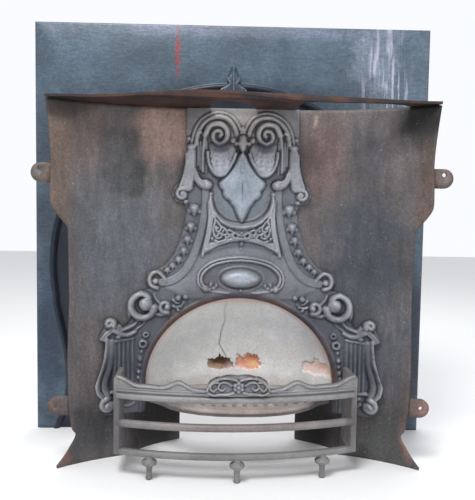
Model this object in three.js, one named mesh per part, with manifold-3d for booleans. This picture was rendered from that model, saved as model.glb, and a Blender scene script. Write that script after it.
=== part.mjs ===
// A Victorian cast iron arched fireplace insert with its own flat front plate standing behind it.
// Millimetres, +Z up, +X to the viewer's right, the front faces -Y, the floor is at Z = 0.
// The insert is a concave body: two curved cheeks, an ornate arched hood panel between them, a broken
// top strip, a domed fireclay back, a slotted bottom grate, two ash walls and a bowed front grate.

import * as THREE from "three";
import { mergeVertices } from "three/addons/utils/BufferGeometryUtils.js";
import Module from "manifold-3d";

const wasm = await Module();
wasm.setup();

// Driving dimensions of the front plate, which gives the whole object its width, height and back.
const PLATE_WIDTH = 942;
const PLATE_HEIGHT = 980;
const PLATE_THICKNESS = 12;
const PLATE_FRONT = 259;
const PLATE_BORDER = 5;
const SHOE_RADIUS = 440;
const SHOE_CENTRE_Z = 405;
const SHOE_MOULDING = 8;
const SHOE_BAND = 95;
const SHOE_BAND_DEPTH = 5;
const LEAF_BASE_Z = 812;

// Driving dimensions of the concave body, on its own centre line, which stands off the plate's.
const INSERT_X = 20;
const BODY_HALF_WIDTH = 397;
const BODY_HEIGHT = 768;
const COVE_RADIUS = 450;
const COVE_FLAT = 95;
const COVE_DEPTH = 119;
const SHEET = 7;
const GAP = 0.3;
const STRIP_THICKNESS = 5;
const STRIP_BOTTOM_Z = BODY_HEIGHT - STRIP_THICKNESS;

// Driving dimensions of the arch and the hood panel.
const ARCH_HALF_WIDTH = 208;
const ARCH_RISE = 192;
const ARCH_SPRING_Z = 158;
const ARCH_COLLAR = 10;
const PANEL_BASE = 7;
const PANEL_FOOT_Z = 96;

// Driving dimensions of the hearth behind the arch.
const GRATE_TOP_Z = 131;
const GRATE_THICKNESS = 15.7;
const SLOT_PITCH = 22;
const SLOT_COUNT = 14;
const SLOT_WIDTH = 9;
const SLOT_RIB = 9;
const SLOT_RIB_SETBACK = 32;
const FIREBACK_WALL = 22;
const FIREBACK_DEPTH = 95;
const ASH_WALL_TOP = 115;

// Driving dimensions of the bowed front grate.
const POST_X = 243;
const POST_FRONT = -12;
const BOW = 40;
const RAIL_Z = 165;
const MIDDLE_BAR_Z = 111;
const BOTTOM_BAR_Z = 53;
const FINIAL_X = 176;
const GRATE_SHIFT = -8;
const GRATE_YAW = 2.2;

// Geometry helpers.

// Front face of the cheek sheet: flat in the middle, then a circular cove coming forward.
function coveY(x) {
  const along = Math.max(Math.abs(x) - COVE_FLAT, 0);
  return COVE_DEPTH - (COVE_RADIUS - Math.sqrt(COVE_RADIUS ** 2 - along ** 2));
}

// A point on the cove, proud of the cheek sheet by the given amount.
function onCove(x, z, proud) {
  return new THREE.Vector3(x, coveY(x) - proud, z);
}

function asManifold(geometry) {
  let plain = geometry.index ? geometry.toNonIndexed() : geometry.clone();
  plain.deleteAttribute("normal");
  plain.deleteAttribute("uv");
  plain = mergeVertices(plain, 1e-3);
  const position = plain.getAttribute("position");
  const vertProperties = new Float32Array(position.array);
  const triVerts = new Uint32Array(plain.index.array);
  return new wasm.Manifold(new wasm.Mesh({ numProp: 3, vertProperties, triVerts }));
}

function asGeometry(manifold) {
  const mesh = manifold.getMesh();
  const geometry = new THREE.BufferGeometry();
  geometry.setAttribute("position", new THREE.BufferAttribute(new Float32Array(mesh.vertProperties), 3));
  geometry.setIndex(new THREE.BufferAttribute(new Uint32Array(mesh.triVerts), 1));
  geometry.computeVertexNormals();
  return geometry;
}

function joined(solids) {
  return solids.reduce((whole, solid) => whole.add(solid));
}

// A closed outline of [x, z] points becomes a prism from y = front to y = back.
function prism(outline, front, back, bevel = 0) {
  const shape = new THREE.Shape(outline.map(([x, z]) => new THREE.Vector2(x, z)));
  const geometry = new THREE.ExtrudeGeometry(shape, {
    depth: back - front - 2 * bevel,
    bevelEnabled: bevel > 0,
    bevelThickness: bevel,
    bevelSize: bevel,
    bevelOffset: -bevel,
    bevelSegments: 1,
  });
  geometry.rotateX(Math.PI / 2);
  geometry.translate(0, back - bevel, 0);
  return asManifold(geometry);
}

// The plan of the cove between two distances in front of the sheet, as an upright wall.
function coveWall(front, back, bottom, top, facets = 9) {
  const stations = [];
  for (let i = -facets; i <= facets; i += 1) {
    if (i !== 0) {
      const share = (Math.abs(i) - 1) / (facets - 1);
      stations.push(Math.sign(i) * (COVE_FLAT + share * (BODY_HALF_WIDTH + 3 - COVE_FLAT)));
    }
  }
  const plan = stations.map((x) => new THREE.Vector2(x, coveY(x) - front));
  stations.reverse().forEach((x) => plan.push(new THREE.Vector2(x, coveY(x) - back)));
  const geometry = new THREE.ExtrudeGeometry(new THREE.Shape(plan), {
    depth: top - bottom,
    bevelEnabled: false,
  });
  geometry.translate(0, 0, bottom);
  return asManifold(geometry);
}

// A bar of round section along a smooth curve through the given points.
function bar(points, radius, steps, sides = 4) {
  const section = new THREE.Shape();
  for (let i = 0; i < sides; i += 1) {
    const turn = (i / sides) * 2 * Math.PI;
    const corner = [radius * Math.cos(turn), radius * Math.sin(turn)];
    if (i === 0) {
      section.moveTo(...corner);
    } else {
      section.lineTo(...corner);
    }
  }
  const extrudePath = new THREE.CatmullRomCurve3(points, false, "centripetal");
  return asManifold(new THREE.ExtrudeGeometry(section, { steps, bevelEnabled: false, extrudePath }));
}

// A scroll bar lying on the cove, its centre line proud of the sheet.
function scroll(side, places, radius, steps, proud = PANEL_BASE - 1) {
  return bar(places.map(([x, z]) => onCove(side * x, z, proud)), radius, steps);
}

// Points of a flat spiral round a centre, from one turn angle and radius to another, in degrees.
function spiral(x, z, fromRadius, toRadius, fromAngle, toAngle, count) {
  const places = [];
  for (let i = 0; i <= count; i += 1) {
    const share = i / count;
    const turn = THREE.MathUtils.degToRad(fromAngle + share * (toAngle - fromAngle));
    const radius = fromRadius + share * (toRadius - fromRadius);
    places.push([x + radius * Math.cos(turn), z + radius * Math.sin(turn)]);
  }
  return places;
}

// A ball with few faces, and fewer the smaller it is.
function roundForm(size) {
  if (size > 13) {
    return new THREE.SphereGeometry(1, 8, 6);
  }
  return size > 8 ? new THREE.IcosahedronGeometry(1, 0) : new THREE.OctahedronGeometry(1, 0);
}

// A rounded boss on the cove: a ball stretched to three half sizes.
function boss(side, x, z, halfX, halfZ, high, tilt = 0) {
  const ball = roundForm(Math.max(halfX, halfZ));
  ball.scale(halfX, high, halfZ);
  ball.rotateY(THREE.MathUtils.degToRad(side * tilt));
  const place = onCove(side * x, z, PANEL_BASE - 0.5);
  ball.translate(place.x, place.y, place.z);
  return asManifold(ball);
}

// Half outline mirrored into a whole one; points run from the top centre to the bottom centre.
function mirrored(half) {
  const left = half.filter(([x]) => x > 0).reverse();
  return half.concat(left.map(([x, z]) => [-x, z]));
}

// The arch opening, larger by the given margin, from the foot of the panel or lower.
function archOutline(margin, bottom, facets = 20) {
  const outline = [];
  for (let i = 0; i <= facets; i += 1) {
    const turn = (i / facets) * Math.PI;
    const x = (ARCH_HALF_WIDTH + margin) * Math.cos(turn);
    outline.push([x, ARCH_SPRING_Z + (ARCH_RISE + margin) * Math.sin(turn)]);
  }
  outline.push([-(ARCH_HALF_WIDTH + margin), bottom]);
  outline.push([ARCH_HALF_WIDTH + margin, bottom]);
  return outline;
}

// The two cheeks.

const CHEEK_EDGE = [
  [397, STRIP_BOTTOM_Z - GAP],
  [391, 696],
  [388, 637],
  [390, 571],
  [386, 543],
  [362, 505],
  [360, 490],
  [358, 352],
  [361, 247],
  [360, 150],
  [355, 82],
  [347, 64],
  [357, 42],
  [370, 20],
  [386, 0],
];
const UPPER_LUG = { x: 383, tip: 430, z: 614, holeX: 411, holeZ: 622 };
const LOWER_LUG = { x: 356, tip: 404, z: 127, holeX: 386, holeZ: 127 };
const LUG_HALF_HEIGHT = 20;
const LUG_HOLE = 4.5;

function lug(side, place) {
  const front = coveY(place.x) + 1;
  const round = new THREE.Shape();
  const centre = place.tip - LUG_HALF_HEIGHT;
  round.moveTo(place.x, place.z - LUG_HALF_HEIGHT);
  round.lineTo(centre, place.z - LUG_HALF_HEIGHT);
  round.absarc(centre, place.z, LUG_HALF_HEIGHT, -Math.PI / 2, Math.PI / 2, false);
  round.lineTo(place.x, place.z + LUG_HALF_HEIGHT);
  const edge = round.getPoints(5).map((p) => [side * p.x, p.y]);
  const hole = spiral(place.holeX, place.holeZ, LUG_HOLE, LUG_HOLE, 0, 315, 7);
  const tab = prism(edge, front, front + SHEET - 1);
  return tab.subtract(prism(hole.map(([x, z]) => [side * x, z]), front - 5, front + SHEET + 5));
}

function cheek(side) {
  const inner = archOutline(14, 0).filter(([x, z]) => x > COVE_FLAT && z > 0);
  const outline = CHEEK_EDGE.concat([[ARCH_HALF_WIDTH + 14, 0]], inner);
  outline.push([COVE_FLAT + 1, 344]);
  outline.push([COVE_FLAT + 1, STRIP_BOTTOM_Z - GAP]);
  const sheet = coveWall(0, -SHEET, 0, BODY_HEIGHT);
  const cut = prism(outline.map(([x, z]) => [side * x, z]), -60, 200);
  return joined([sheet.intersect(cut), lug(side, UPPER_LUG), lug(side, LOWER_LUG)]);
}

// The hood panel: a plate on the cove with its cast ornament.

const PANEL_EDGE = [
  [0, STRIP_BOTTOM_Z - GAP],
  [122, STRIP_BOTTOM_Z - GAP],
  [122, 668],
  [126, 660],
  [137, 604],
  [148, 590],
  [152, 574],
  [144, 560],
  [124, 556],
  [120, 540],
  [126, 505],
  [134, 474],
  [146, 446],
  [166, 420],
  [184, 410],
  [203, 406],
  [209, 388],
  [199, 368],
  [218, 366],
  [237, 356],
  [247, 333],
  [240, 302],
  [254, 286],
  [268, 305],
  [281, 311],
  [293, 302],
  [292, 286],
  [304, 264],
  [288, 258],
  [290, 226],
  [297, 196],
  [307, 166],
  [303, 146],
  [295, 136],
  [303, 118],
  [296, 102],
  [280, PANEL_FOOT_Z],
  [0, PANEL_FOOT_Z],
];
const LEAF_EDGE = [
  [0, 700],
  [9, 676],
  [24, 640],
  [51, 608],
  [44, 584],
  [34, 572],
  [21, 554],
  [9, 532],
  [0, 521],
];
const LACE_EDGE = [
  [0, 508],
  [30, 513],
  [52, 530],
  [60, 548],
  [66, 500],
  [74, 456],
  [40, 472],
  [0, 480],
];
const OUTER_ARCH = [[105, 706], [106, 724], [96, 745], [77, 757], [58, 760], [36, 754], [17, 738], [0, 714]];
const VOLUTE = [[86, 628], [84, 668], [84, 706], [76, 728], [58, 737]];
const VOLUTE_CURL = spiral(54, 710, 25, 7, 80, 520, 14);
const BELL = [[69, 574], [73, 530], [86, 476], [98, 440], [112, 412], [130, 390], [150, 378], [172, 376]];
const BELL_CURL = spiral(188, 390, 15, 5, -90, 200, 8);
const CRESCENT = [[66, 576], [61, 548], [50, 527], [27, 513], [0, 509]];
const OVAL_ARCH = [[76, 367], [88, 378], [86, 402], [68, 421], [38, 435], [0, 439]];
const LEAFY_SCROLL = [[99, 640], [94, 620], [82, 606], [66, 600]];
const CONSOLE = [[114, 668], [116, 640], [122, 606], [128, 584]];
const GREAT_CURL = spiral(212, 333, 33, 20, 100, -160, 10);
const SECOND_CURL = spiral(164, 329, 16, 7, -150, 130, 8);
const RIBBON = [[262, 270], [275, 273], [286, 268], [297, 262]];
const SIDE_CONSOLE = [[284, 252], [288, 224], [294, 198], [301, 176], [301, 158], [293, 142]];
const FOOT_VOLUTE = spiral(281, 119, 17, 9, 80, -230, 9);
const HUSKS = [[107, 545, 11], [113, 506, 9], [119, 476, 8], [128, 450, 7], [139, 433, 7], [153, 420, 7], [163, 402, 6]];
const ARCH_CHAIN = [[206, 269, 5], [211, 248, 6], [216, 223, 5], [219, 199, 4], [138, 349, 6], [121, 349, 5]];
const CENTRE_DROPS = [[0, 716, 9], [0, 691, 13], [0, 667, 6], [0, 648, 4], [0, 638, 4], [0, 626, 4], [0, 466, 5], [0, 454, 4]];
const FLUTE_X = [238, 250, 262, 274];
const FLUTE_BOTTOM = 146;
const FLUTE_TOP = 262;

function sideOrnament(side) {
  const parts = [
    scroll(side, OUTER_ARCH, 6, 7),
    scroll(side, VOLUTE, 7, 3),
    scroll(side, VOLUTE_CURL, 6, 10),
    scroll(side, BELL, 8, 6),
    scroll(side, BELL_CURL, 8, 5),
    scroll(side, LEAFY_SCROLL, 10, 2),
    scroll(side, CONSOLE, 11, 2),
    boss(side, 135, 577, 13, 13, 16),
    scroll(side, GREAT_CURL, 9, 7),
    scroll(side, SECOND_CURL, 7, 5),
    boss(side, 279, 297, 13, 13, 15),
    scroll(side, RIBBON, 6, 2),
    scroll(side, SIDE_CONSOLE, 8, 4),
    scroll(side, FOOT_VOLUTE, 8, 7),
    boss(side, 45, 654, 30, 40, 13, -12),
    boss(side, 206, 336, 15, 15, 17),
    boss(side, 164, 329, 9, 9, 12),
    boss(side, 76, 450, 5, 5, 8),
    boss(side, 281, 119, 8, 8, 12),
  ];
  HUSKS.concat(ARCH_CHAIN).forEach(([x, z, size]) => parts.push(boss(side, x, z, size, size * 1.1, size + 4)));
  FLUTE_X.forEach((x) => parts.push(scroll(side, [[x, FLUTE_BOTTOM], [x, FLUTE_TOP]], 4, 1)));
  return joined(parts);
}

function centreOrnament() {
  const crescent = CRESCENT.concat(CRESCENT.slice(0, -1).reverse().map(([x, z]) => [-x, z]));
  const ovalArch = OVAL_ARCH.concat(OVAL_ARCH.slice(0, -1).reverse().map(([x, z]) => [-x, z]));
  const parts = [
    scroll(1, crescent, 7, 8),
    scroll(1, ovalArch, 5, 10),
    boss(1, 0, 391, 46, 21, 14),
    prism(mirrored(LEAF_EDGE), COVE_DEPTH - 19, COVE_DEPTH - 3, 5),
    prism(mirrored(LACE_EDGE), COVE_DEPTH - 12, COVE_DEPTH - 3, 1),
  ];
  CENTRE_DROPS.forEach(([x, z, size]) => parts.push(boss(1, x, z, size, size * 1.1, size + 8)));
  return joined(parts);
}

function hoodPanel() {
  const plate = coveWall(PANEL_BASE, GAP, PANEL_FOOT_Z, BODY_HEIGHT).intersect(prism(mirrored(PANEL_EDGE), -60, 200));
  const collarSheet = coveWall(PANEL_BASE + 3, -SHEET, PANEL_FOOT_Z, BODY_HEIGHT);
  const collar = collarSheet.intersect(prism(archOutline(ARCH_COLLAR, PANEL_FOOT_Z), -60, 200));
  const before = coveWall(60, GAP, 0, STRIP_BOTTOM_Z - GAP);
  const ornament = joined([sideOrnament(-1), sideOrnament(1), centreOrnament()]).intersect(before);
  return joined([plate, ornament, collar]).subtract(prism(archOutline(0, 0), -60, 200));
}

// The top strip between the front edge of the cheeks and the cove, bowed up and broken away.

const STRIP_BOW = 14;
const STRIP_BOW_X = -75;
const STRIP_BOW_REACH = 240;
const STRIP_BREAKS = [
  [338, 38],
  [322, 24],
  [286, 15],
  [240, 11],
  [190, 13],
  [150, 10],
  [122, 20],
  [116, 60],
  [112, 126],
  [30, 126],
  [24, 98],
  [6, 70],
  [-34, 61],
  [-66, 68],
  [-76, 126],
];

function topStrip() {
  const outline = [];
  for (let x = -BODY_HALF_WIDTH; x < BODY_HALF_WIDTH; x += 50) {
    outline.push([x, 0]);
  }
  outline.push([BODY_HALF_WIDTH, 0]);
  for (let x = BODY_HALF_WIDTH; x > 345; x -= 12) {
    outline.push([x, coveY(x) + SHEET]);
  }
  outline.push(...STRIP_BREAKS);
  for (let x = -COVE_FLAT; x > -BODY_HALF_WIDTH; x -= 30) {
    outline.push([x, coveY(x) + SHEET]);
  }
  outline.push([-BODY_HALF_WIDTH, coveY(BODY_HALF_WIDTH) + SHEET]);
  const shape = new THREE.Shape(outline.map(([x, y]) => new THREE.Vector2(x, y)));
  const geometry = new THREE.ExtrudeGeometry(shape, { depth: STRIP_THICKNESS, bevelEnabled: false });
  geometry.translate(0, 0, STRIP_BOTTOM_Z);
  const position = geometry.getAttribute("position");
  for (let i = 0; i < position.count; i += 1) {
    const off = Math.min(Math.abs(position.getX(i) - STRIP_BOW_X) / STRIP_BOW_REACH, 1);
    const forward = Math.max(1 - position.getY(i) / COVE_DEPTH, 0);
    const rise = STRIP_BOW * 0.5 * (1 + Math.cos(Math.PI * off)) * forward;
    position.setZ(i, position.getZ(i) + rise);
  }
  return asManifold(geometry);
}

// The fireclay back: a domed niche, cut to sit behind the sheets, standing on the bottom grate.

function quarterDome(halfWidth, depth, rise) {
  const dome = new THREE.SphereGeometry(1, 24, 12);
  dome.rotateX(Math.PI / 2);
  dome.scale(halfWidth, depth, rise);
  dome.translate(0, COVE_DEPTH - 19, ARCH_SPRING_Z);
  return asManifold(dome);
}

function shaft(halfWidth, depth, bottom) {
  const round = new THREE.CylinderGeometry(1, 1, 1, 24);
  round.rotateX(Math.PI / 2);
  round.scale(halfWidth, depth, ARCH_SPRING_Z - bottom);
  round.translate(0, COVE_DEPTH - 19, (ARCH_SPRING_Z + bottom) / 2);
  return asManifold(round);
}

function fireback() {
  const wall = FIREBACK_WALL;
  const bottom = GRATE_TOP_Z + GAP;
  const outerX = ARCH_HALF_WIDTH + wall;
  const outer = quarterDome(outerX, FIREBACK_DEPTH + wall, ARCH_RISE + wall)
    .add(shaft(outerX, FIREBACK_DEPTH + wall, bottom));
  const inner = quarterDome(ARCH_HALF_WIDTH + 2, FIREBACK_DEPTH, ARCH_RISE + 2)
    .add(shaft(ARCH_HALF_WIDTH + 2, FIREBACK_DEPTH, bottom - 40));
  const inFront = coveWall(400, -SHEET - GAP, -200, BODY_HEIGHT);
  const below = prism([[-400, bottom], [-400, -400], [400, -400], [400, bottom]], -200, 400);
  return outer.subtract(inner).subtract(inFront).subtract(below);
}

// The slotted bottom grate and the two ash walls that carry it.

function bottomGrate() {
  const half = [[0, 7], [45, 9], [85, 18], [122, 34], [150, 56], [172, 84], [203, 108], [203, 150], [150, 196], [0, 205]];
  const outline = half.concat(half.filter(([x]) => x > 0).reverse().map(([x, y]) => [-x, y]));
  const shape = new THREE.Shape(outline.map(([x, y]) => new THREE.Vector2(x, y)));
  const geometry = new THREE.ExtrudeGeometry(shape, { depth: GRATE_THICKNESS, bevelEnabled: false });
  geometry.translate(0, 0, GRATE_TOP_Z - GRATE_THICKNESS);
  let plate = asManifold(geometry);
  for (let i = 0; i < SLOT_COUNT; i += 1) {
    const x = (i - (SLOT_COUNT - 1) / 2) * SLOT_PITCH;
    const front = 26 + 34 * (x / 150) ** 2;
    const back = 176 - 0.25 * Math.abs(x);
    const rib = front + SLOT_RIB_SETBACK;
    const slots = [[front, rib - SLOT_RIB / 2], [rib + SLOT_RIB / 2, back]];
    slots.forEach(([from, to]) => {
      const slot = new THREE.BoxGeometry(SLOT_WIDTH, to - from, 60);
      slot.translate(x, (from + to) / 2, GRATE_TOP_Z);
      plate = plate.subtract(asManifold(slot));
    });
  }
  return plate;
}

const ASH_WALL_PLAN = [[236, 106], [222, 128], [190, 158], [137, 192]];
const ASH_WALL_THICKNESS = 8;

function ashWall(side) {
  const back = ASH_WALL_PLAN.map(([x, y]) => [x, y + ASH_WALL_THICKNESS]).reverse();
  const plan = ASH_WALL_PLAN.concat(back).map(([x, y]) => new THREE.Vector2(side * x, y));
  const geometry = new THREE.ExtrudeGeometry(new THREE.Shape(plan), { depth: ASH_WALL_TOP, bevelEnabled: false });
  return asManifold(geometry);
}

// The bowed front grate, cast in one: side posts, three bars, a medallion and three turned feet.

function bowY(x) {
  const share = Math.min(Math.abs(x) / POST_X, 1);
  return POST_FRONT - BOW * (1 - share ** 2);
}

// A bar with an upright rectangular section that follows the bow; its top edge may be shaped.
function bowedBar(bottomAt, topAt, depth, facets = 14) {
  const parts = [];
  for (let i = 0; i < facets; i += 1) {
    const x0 = -POST_X + (2 * POST_X * i) / facets;
    const x1 = -POST_X + (2 * POST_X * (i + 1)) / facets;
    const corners = [x0, x1].flatMap((x) => [
      [x, bowY(x), bottomAt(x)],
      [x, bowY(x) + depth, bottomAt(x)],
      [x, bowY(x) + depth, topAt(x)],
      [x, bowY(x), topAt(x)],
    ]);
    parts.push(corners);
  }
  const vertices = parts[0].slice(0, 4);
  parts.forEach((corners) => vertices.push(...corners.slice(4)));
  const faces = [[0, 3, 2], [0, 2, 1]];
  for (let i = 0; i < facets; i += 1) {
    const base = 4 * i;
    for (let k = 0; k < 4; k += 1) {
      const next = (k + 1) % 4;
      faces.push([base + k, base + next, base + 4 + next]);
      faces.push([base + k, base + 4 + next, base + 4 + k]);
    }
  }
  const last = 4 * facets;
  faces.push([last, last + 1, last + 2]);
  faces.push([last, last + 2, last + 3]);
  const geometry = new THREE.BufferGeometry();
  geometry.setAttribute("position", new THREE.Float32BufferAttribute(vertices.flat(), 3));
  geometry.setIndex(faces.flat());
  return asManifold(geometry);
}

// Top edge of the rail: raised at the posts, a wave on each side, and low beside the medallion.
function railTop(x) {
  const off = Math.abs(x);
  const wave = 15 * Math.exp(-(((off - 118) / 24) ** 2));
  const end = 16 * THREE.MathUtils.smoothstep(off, 196, POST_X);
  return RAIL_Z + 25 + wave + end + 4 * THREE.MathUtils.smoothstep(off, 118, 180);
}

const MEDALLION = [[0, 217], [22, 221], [42, 218], [58, 207], [66, 190], [66, 172], [0, 172]];
const FINIAL_PROFILE = [[0, 0], [7, 0], [7, 4], [6, 10], [7, 28], [15, 33], [15, 37], [8, 42], [9, 47], [0, 47]];

function frontGrate() {
  const rail = bowedBar(() => RAIL_Z, railTop, 9);
  const bead = bowedBar(() => RAIL_Z - 2, () => RAIL_Z + 8, 12).translate([0, -3, 0]);
  const middlePoints = [];
  const shown = 12;
  for (let i = 0; i <= shown; i += 1) {
    const x = -POST_X + (2 * POST_X * i) / shown;
    middlePoints.push(new THREE.Vector3(x, bowY(x) + 6, MIDDLE_BAR_Z));
  }
  const parts = [
    rail,
    bead,
    bar(middlePoints, 8, 14, 6),
    bowedBar(() => BOTTOM_BAR_Z - 7, () => BOTTOM_BAR_Z + 5, 14),
    prism(mirrored(MEDALLION), bowY(0) - 5, bowY(60) + 6, 3),
  ];
  [-1, 1].forEach((side) => {
    const postInner = POST_X - 6;
    const cheekFace = coveY(POST_X) - PANEL_BASE - 11;
    const post = new THREE.BoxGeometry(12, cheekFace - POST_FRONT, 158);
    post.translate(side * (postInner + 6), (cheekFace + POST_FRONT) / 2, 46 + 79);
    parts.push(asManifold(post));
    parts.push(prism([[side * 236, 196], [side * 249, 196], [side * 249, 212], [side * 240, 208]], -12, -2));
  });
  [-FINIAL_X, 0, FINIAL_X].forEach((x) => {
    const profile = FINIAL_PROFILE.map(([r, z]) => new THREE.Vector2(r, z));
    const finial = new THREE.LatheGeometry(profile, 8);
    finial.rotateX(Math.PI / 2);
    finial.translate(x, bowY(x) + 7, 0);
    parts.push(asManifold(finial));
  });
  return joined(parts);
}

// The flat front plate with its horseshoe opening, ring moulding, sunk band and leaf.

const SHOE_SIDE = [[432, 0], [412, 50], [405, 82], [401, 115], [402, 150], [409, 200], [421, 255], [433, 310]];

function shoeOutline(inset, facets = 16) {
  const half = [];
  const radius = SHOE_RADIUS - inset;
  const low = SHOE_CENTRE_Z - 75;
  const start = Math.asin((low - SHOE_CENTRE_Z) / SHOE_RADIUS);
  for (let i = 0; i <= facets; i += 1) {
    const turn = Math.PI / 2 + (i / facets) * (start - Math.PI / 2);
    half.push([radius * Math.cos(turn), SHOE_CENTRE_Z + radius * Math.sin(turn)]);
  }
  half[0][0] = 0;
  SHOE_SIDE.slice().reverse().forEach(([x, z]) => half.push([x - inset, z]));
  return half;
}

// The whole horseshoe from its half, carried straight down past the floor to cut cleanly.
function belowFloor(half) {
  const footX = half.at(-1)[0];
  return mirrored(half.concat([[footX, -20]]));
}

function frontPlate() {
  const halfWidth = PLATE_WIDTH / 2;
  const back = PLATE_FRONT + PLATE_THICKNESS;
  const rectangle = [[-halfWidth, 0], [halfWidth, 0], [halfWidth, PLATE_HEIGHT], [-halfWidth, PLATE_HEIGHT]];
  const slab = prism(rectangle, PLATE_FRONT, back, PLATE_BORDER / 2);
  const opening = belowFloor(shoeOutline(SHOE_BAND));
  const band = belowFloor(shoeOutline(2 * SHOE_MOULDING));
  const ringHalf = shoeOutline(SHOE_MOULDING, 14);
  const ring = ringHalf.slice(0, -1).concat([[ringHalf.at(-1)[0], 6]]);
  const ringPlaces = ring.slice(1).reverse().map(([x, z]) => [-x, z]).concat(ring);
  const ringPoints = ringPlaces.map(([x, z]) => new THREE.Vector3(x, PLATE_FRONT + 2, z));
  const leaf = [[0, 868], [10, 862], [14, 846], [22, 838], [32, 822], [30, LEAF_BASE_Z], [0, LEAF_BASE_Z + 4]];
  const tip = new THREE.SphereGeometry(1, 8, 6);
  tip.scale(9, 12, 13);
  tip.translate(0, PLATE_FRONT, 872);
  return joined([
    slab
      .subtract(prism(opening, PLATE_FRONT - 20, back + 20))
      .subtract(prism(band, PLATE_FRONT - 20, PLATE_FRONT + SHOE_BAND_DEPTH)),
    bar(ringPoints, SHOE_MOULDING, 30, 5),
    prism(mirrored(leaf), PLATE_FRONT - 13, PLATE_FRONT + 4, 4),
    asManifold(tip),
  ]);
}

// The scene graph: the insert's pieces share one group on its own centre line.

const FINISHES = {
  rust: { color: 0x5b5048, roughness: 0.85, metalness: 0.35 },
  graphite: { color: 0x5d5f66, roughness: 0.6, metalness: 0.5 },
  fireclay: { color: 0xb9b4ac, roughness: 0.95, metalness: 0.0 },
  bars: { color: 0x8b8884, roughness: 0.7, metalness: 0.4 },
  slate: { color: 0x566a7c, roughness: 0.55, metalness: 0.4 },
};

function piece(name, solid, finish) {
  const mesh = new THREE.Mesh(asGeometry(solid), new THREE.MeshStandardMaterial(FINISHES[finish]));
  mesh.name = name;
  return mesh;
}

const insert = new THREE.Group();
insert.add(piece("cheek_left", cheek(-1), "rust"));
insert.add(piece("cheek_right", cheek(1), "rust"));
insert.add(piece("hood_panel", hoodPanel(), "graphite"));
insert.add(piece("top_strip", topStrip(), "rust"));
insert.add(piece("fireback", fireback(), "fireclay"));
insert.add(piece("bottom_grate", bottomGrate(), "rust"));
insert.add(piece("ash_wall_left", ashWall(-1), "rust"));
insert.add(piece("ash_wall_right", ashWall(1), "rust"));
const grate = piece("front_grate", frontGrate(), "bars");
grate.position.x = GRATE_SHIFT;
grate.rotation.z = THREE.MathUtils.degToRad(GRATE_YAW);
insert.add(grate);
insert.position.x = INSERT_X;

const fireplace = new THREE.Group();
fireplace.add(insert);
fireplace.add(piece("front_plate", frontPlate(), "slate"));

// The whole stands centred over the origin, halfway between its frontmost bar and the plate's back.
const box = new THREE.Box3().setFromObject(fireplace);
fireplace.position.y = -(box.min.y + box.max.y) / 2;

export default fireplace;
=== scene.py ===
# %% [markdown]
# An arched cast iron fireplace insert, taken out of its wall, with its flat front plate standing behind it.
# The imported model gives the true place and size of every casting. This lesson rebuilds each casting as a
# fine mesh in the same place, then gives each one the finish of old iron or burnt fireclay.
# Lengths are in metres, drawings are in millimetres, and every casting keeps its place in its own mesh.

# %% Load the frame and measure it
import math

import bmesh
import bpy
import numpy as np
from mathutils import Matrix, Vector


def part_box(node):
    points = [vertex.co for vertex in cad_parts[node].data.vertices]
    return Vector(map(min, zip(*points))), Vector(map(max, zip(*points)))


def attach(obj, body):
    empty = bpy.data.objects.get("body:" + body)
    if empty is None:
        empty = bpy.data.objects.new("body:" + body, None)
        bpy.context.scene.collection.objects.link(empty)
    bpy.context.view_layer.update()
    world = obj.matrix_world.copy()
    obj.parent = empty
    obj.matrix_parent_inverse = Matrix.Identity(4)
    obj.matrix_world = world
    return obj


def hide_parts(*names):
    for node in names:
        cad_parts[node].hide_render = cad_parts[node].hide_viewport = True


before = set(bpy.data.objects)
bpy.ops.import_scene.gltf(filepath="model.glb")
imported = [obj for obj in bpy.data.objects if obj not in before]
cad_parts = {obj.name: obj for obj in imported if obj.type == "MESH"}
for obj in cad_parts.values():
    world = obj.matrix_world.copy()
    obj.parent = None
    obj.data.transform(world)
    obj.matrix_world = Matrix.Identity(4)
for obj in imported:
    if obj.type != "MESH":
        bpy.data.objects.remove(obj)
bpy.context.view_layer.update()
MM = 0.001
print("the frame holds", sorted(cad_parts))

# %% [markdown]
# The insert has its own centre line, 20 mm to the right of the plate's, because it stands a little off
# centre in front of it. The cheeks' two outer edges give that line. Depths are counted back from a front
# line close to those edges, 271 mm in front of the back of the plate.

# %% Find the insert's centre line and front line
BODY_DEPTH = 271 * MM
axis_x = (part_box("cheek_left")[0][0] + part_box("cheek_right")[1][0]) / 2
plate_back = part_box("front_plate")[1][1]
front_line = plate_back - BODY_DEPTH
print("centre line", round(axis_x, 4), "front line", round(front_line, 4))

# %% [markdown]
# The body is a cove: flat for 95 mm each side of the middle, then a quarter circle that comes forward.
# The castings are all laid out flat first, as a pattern maker would draw them, and then bent to the cove.

# %% The cove
COVE_RADIUS = 450 * MM
COVE_FLAT = 95 * MM
COVE_DEPTH = 119 * MM
COVE_REACH = 440 * MM
HALF_BODY = 397 * MM
SHEET = 7 * MM
PANEL_BASE = 7 * MM
GAP = 0.3 * MM
ARCH_X = 208 * MM
ARCH_RISE = 192 * MM
ARCH_SPRING = 158 * MM


def cove_y(x):
    along = np.maximum(np.abs(x) - COVE_FLAT, 0)
    return COVE_DEPTH - (COVE_RADIUS - np.sqrt(COVE_RADIUS**2 - np.minimum(along, COVE_REACH) ** 2))


print("the cove comes forward", round(float(COVE_DEPTH - cove_y(HALF_BODY)) / MM), "mm at the outer edges")
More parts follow.
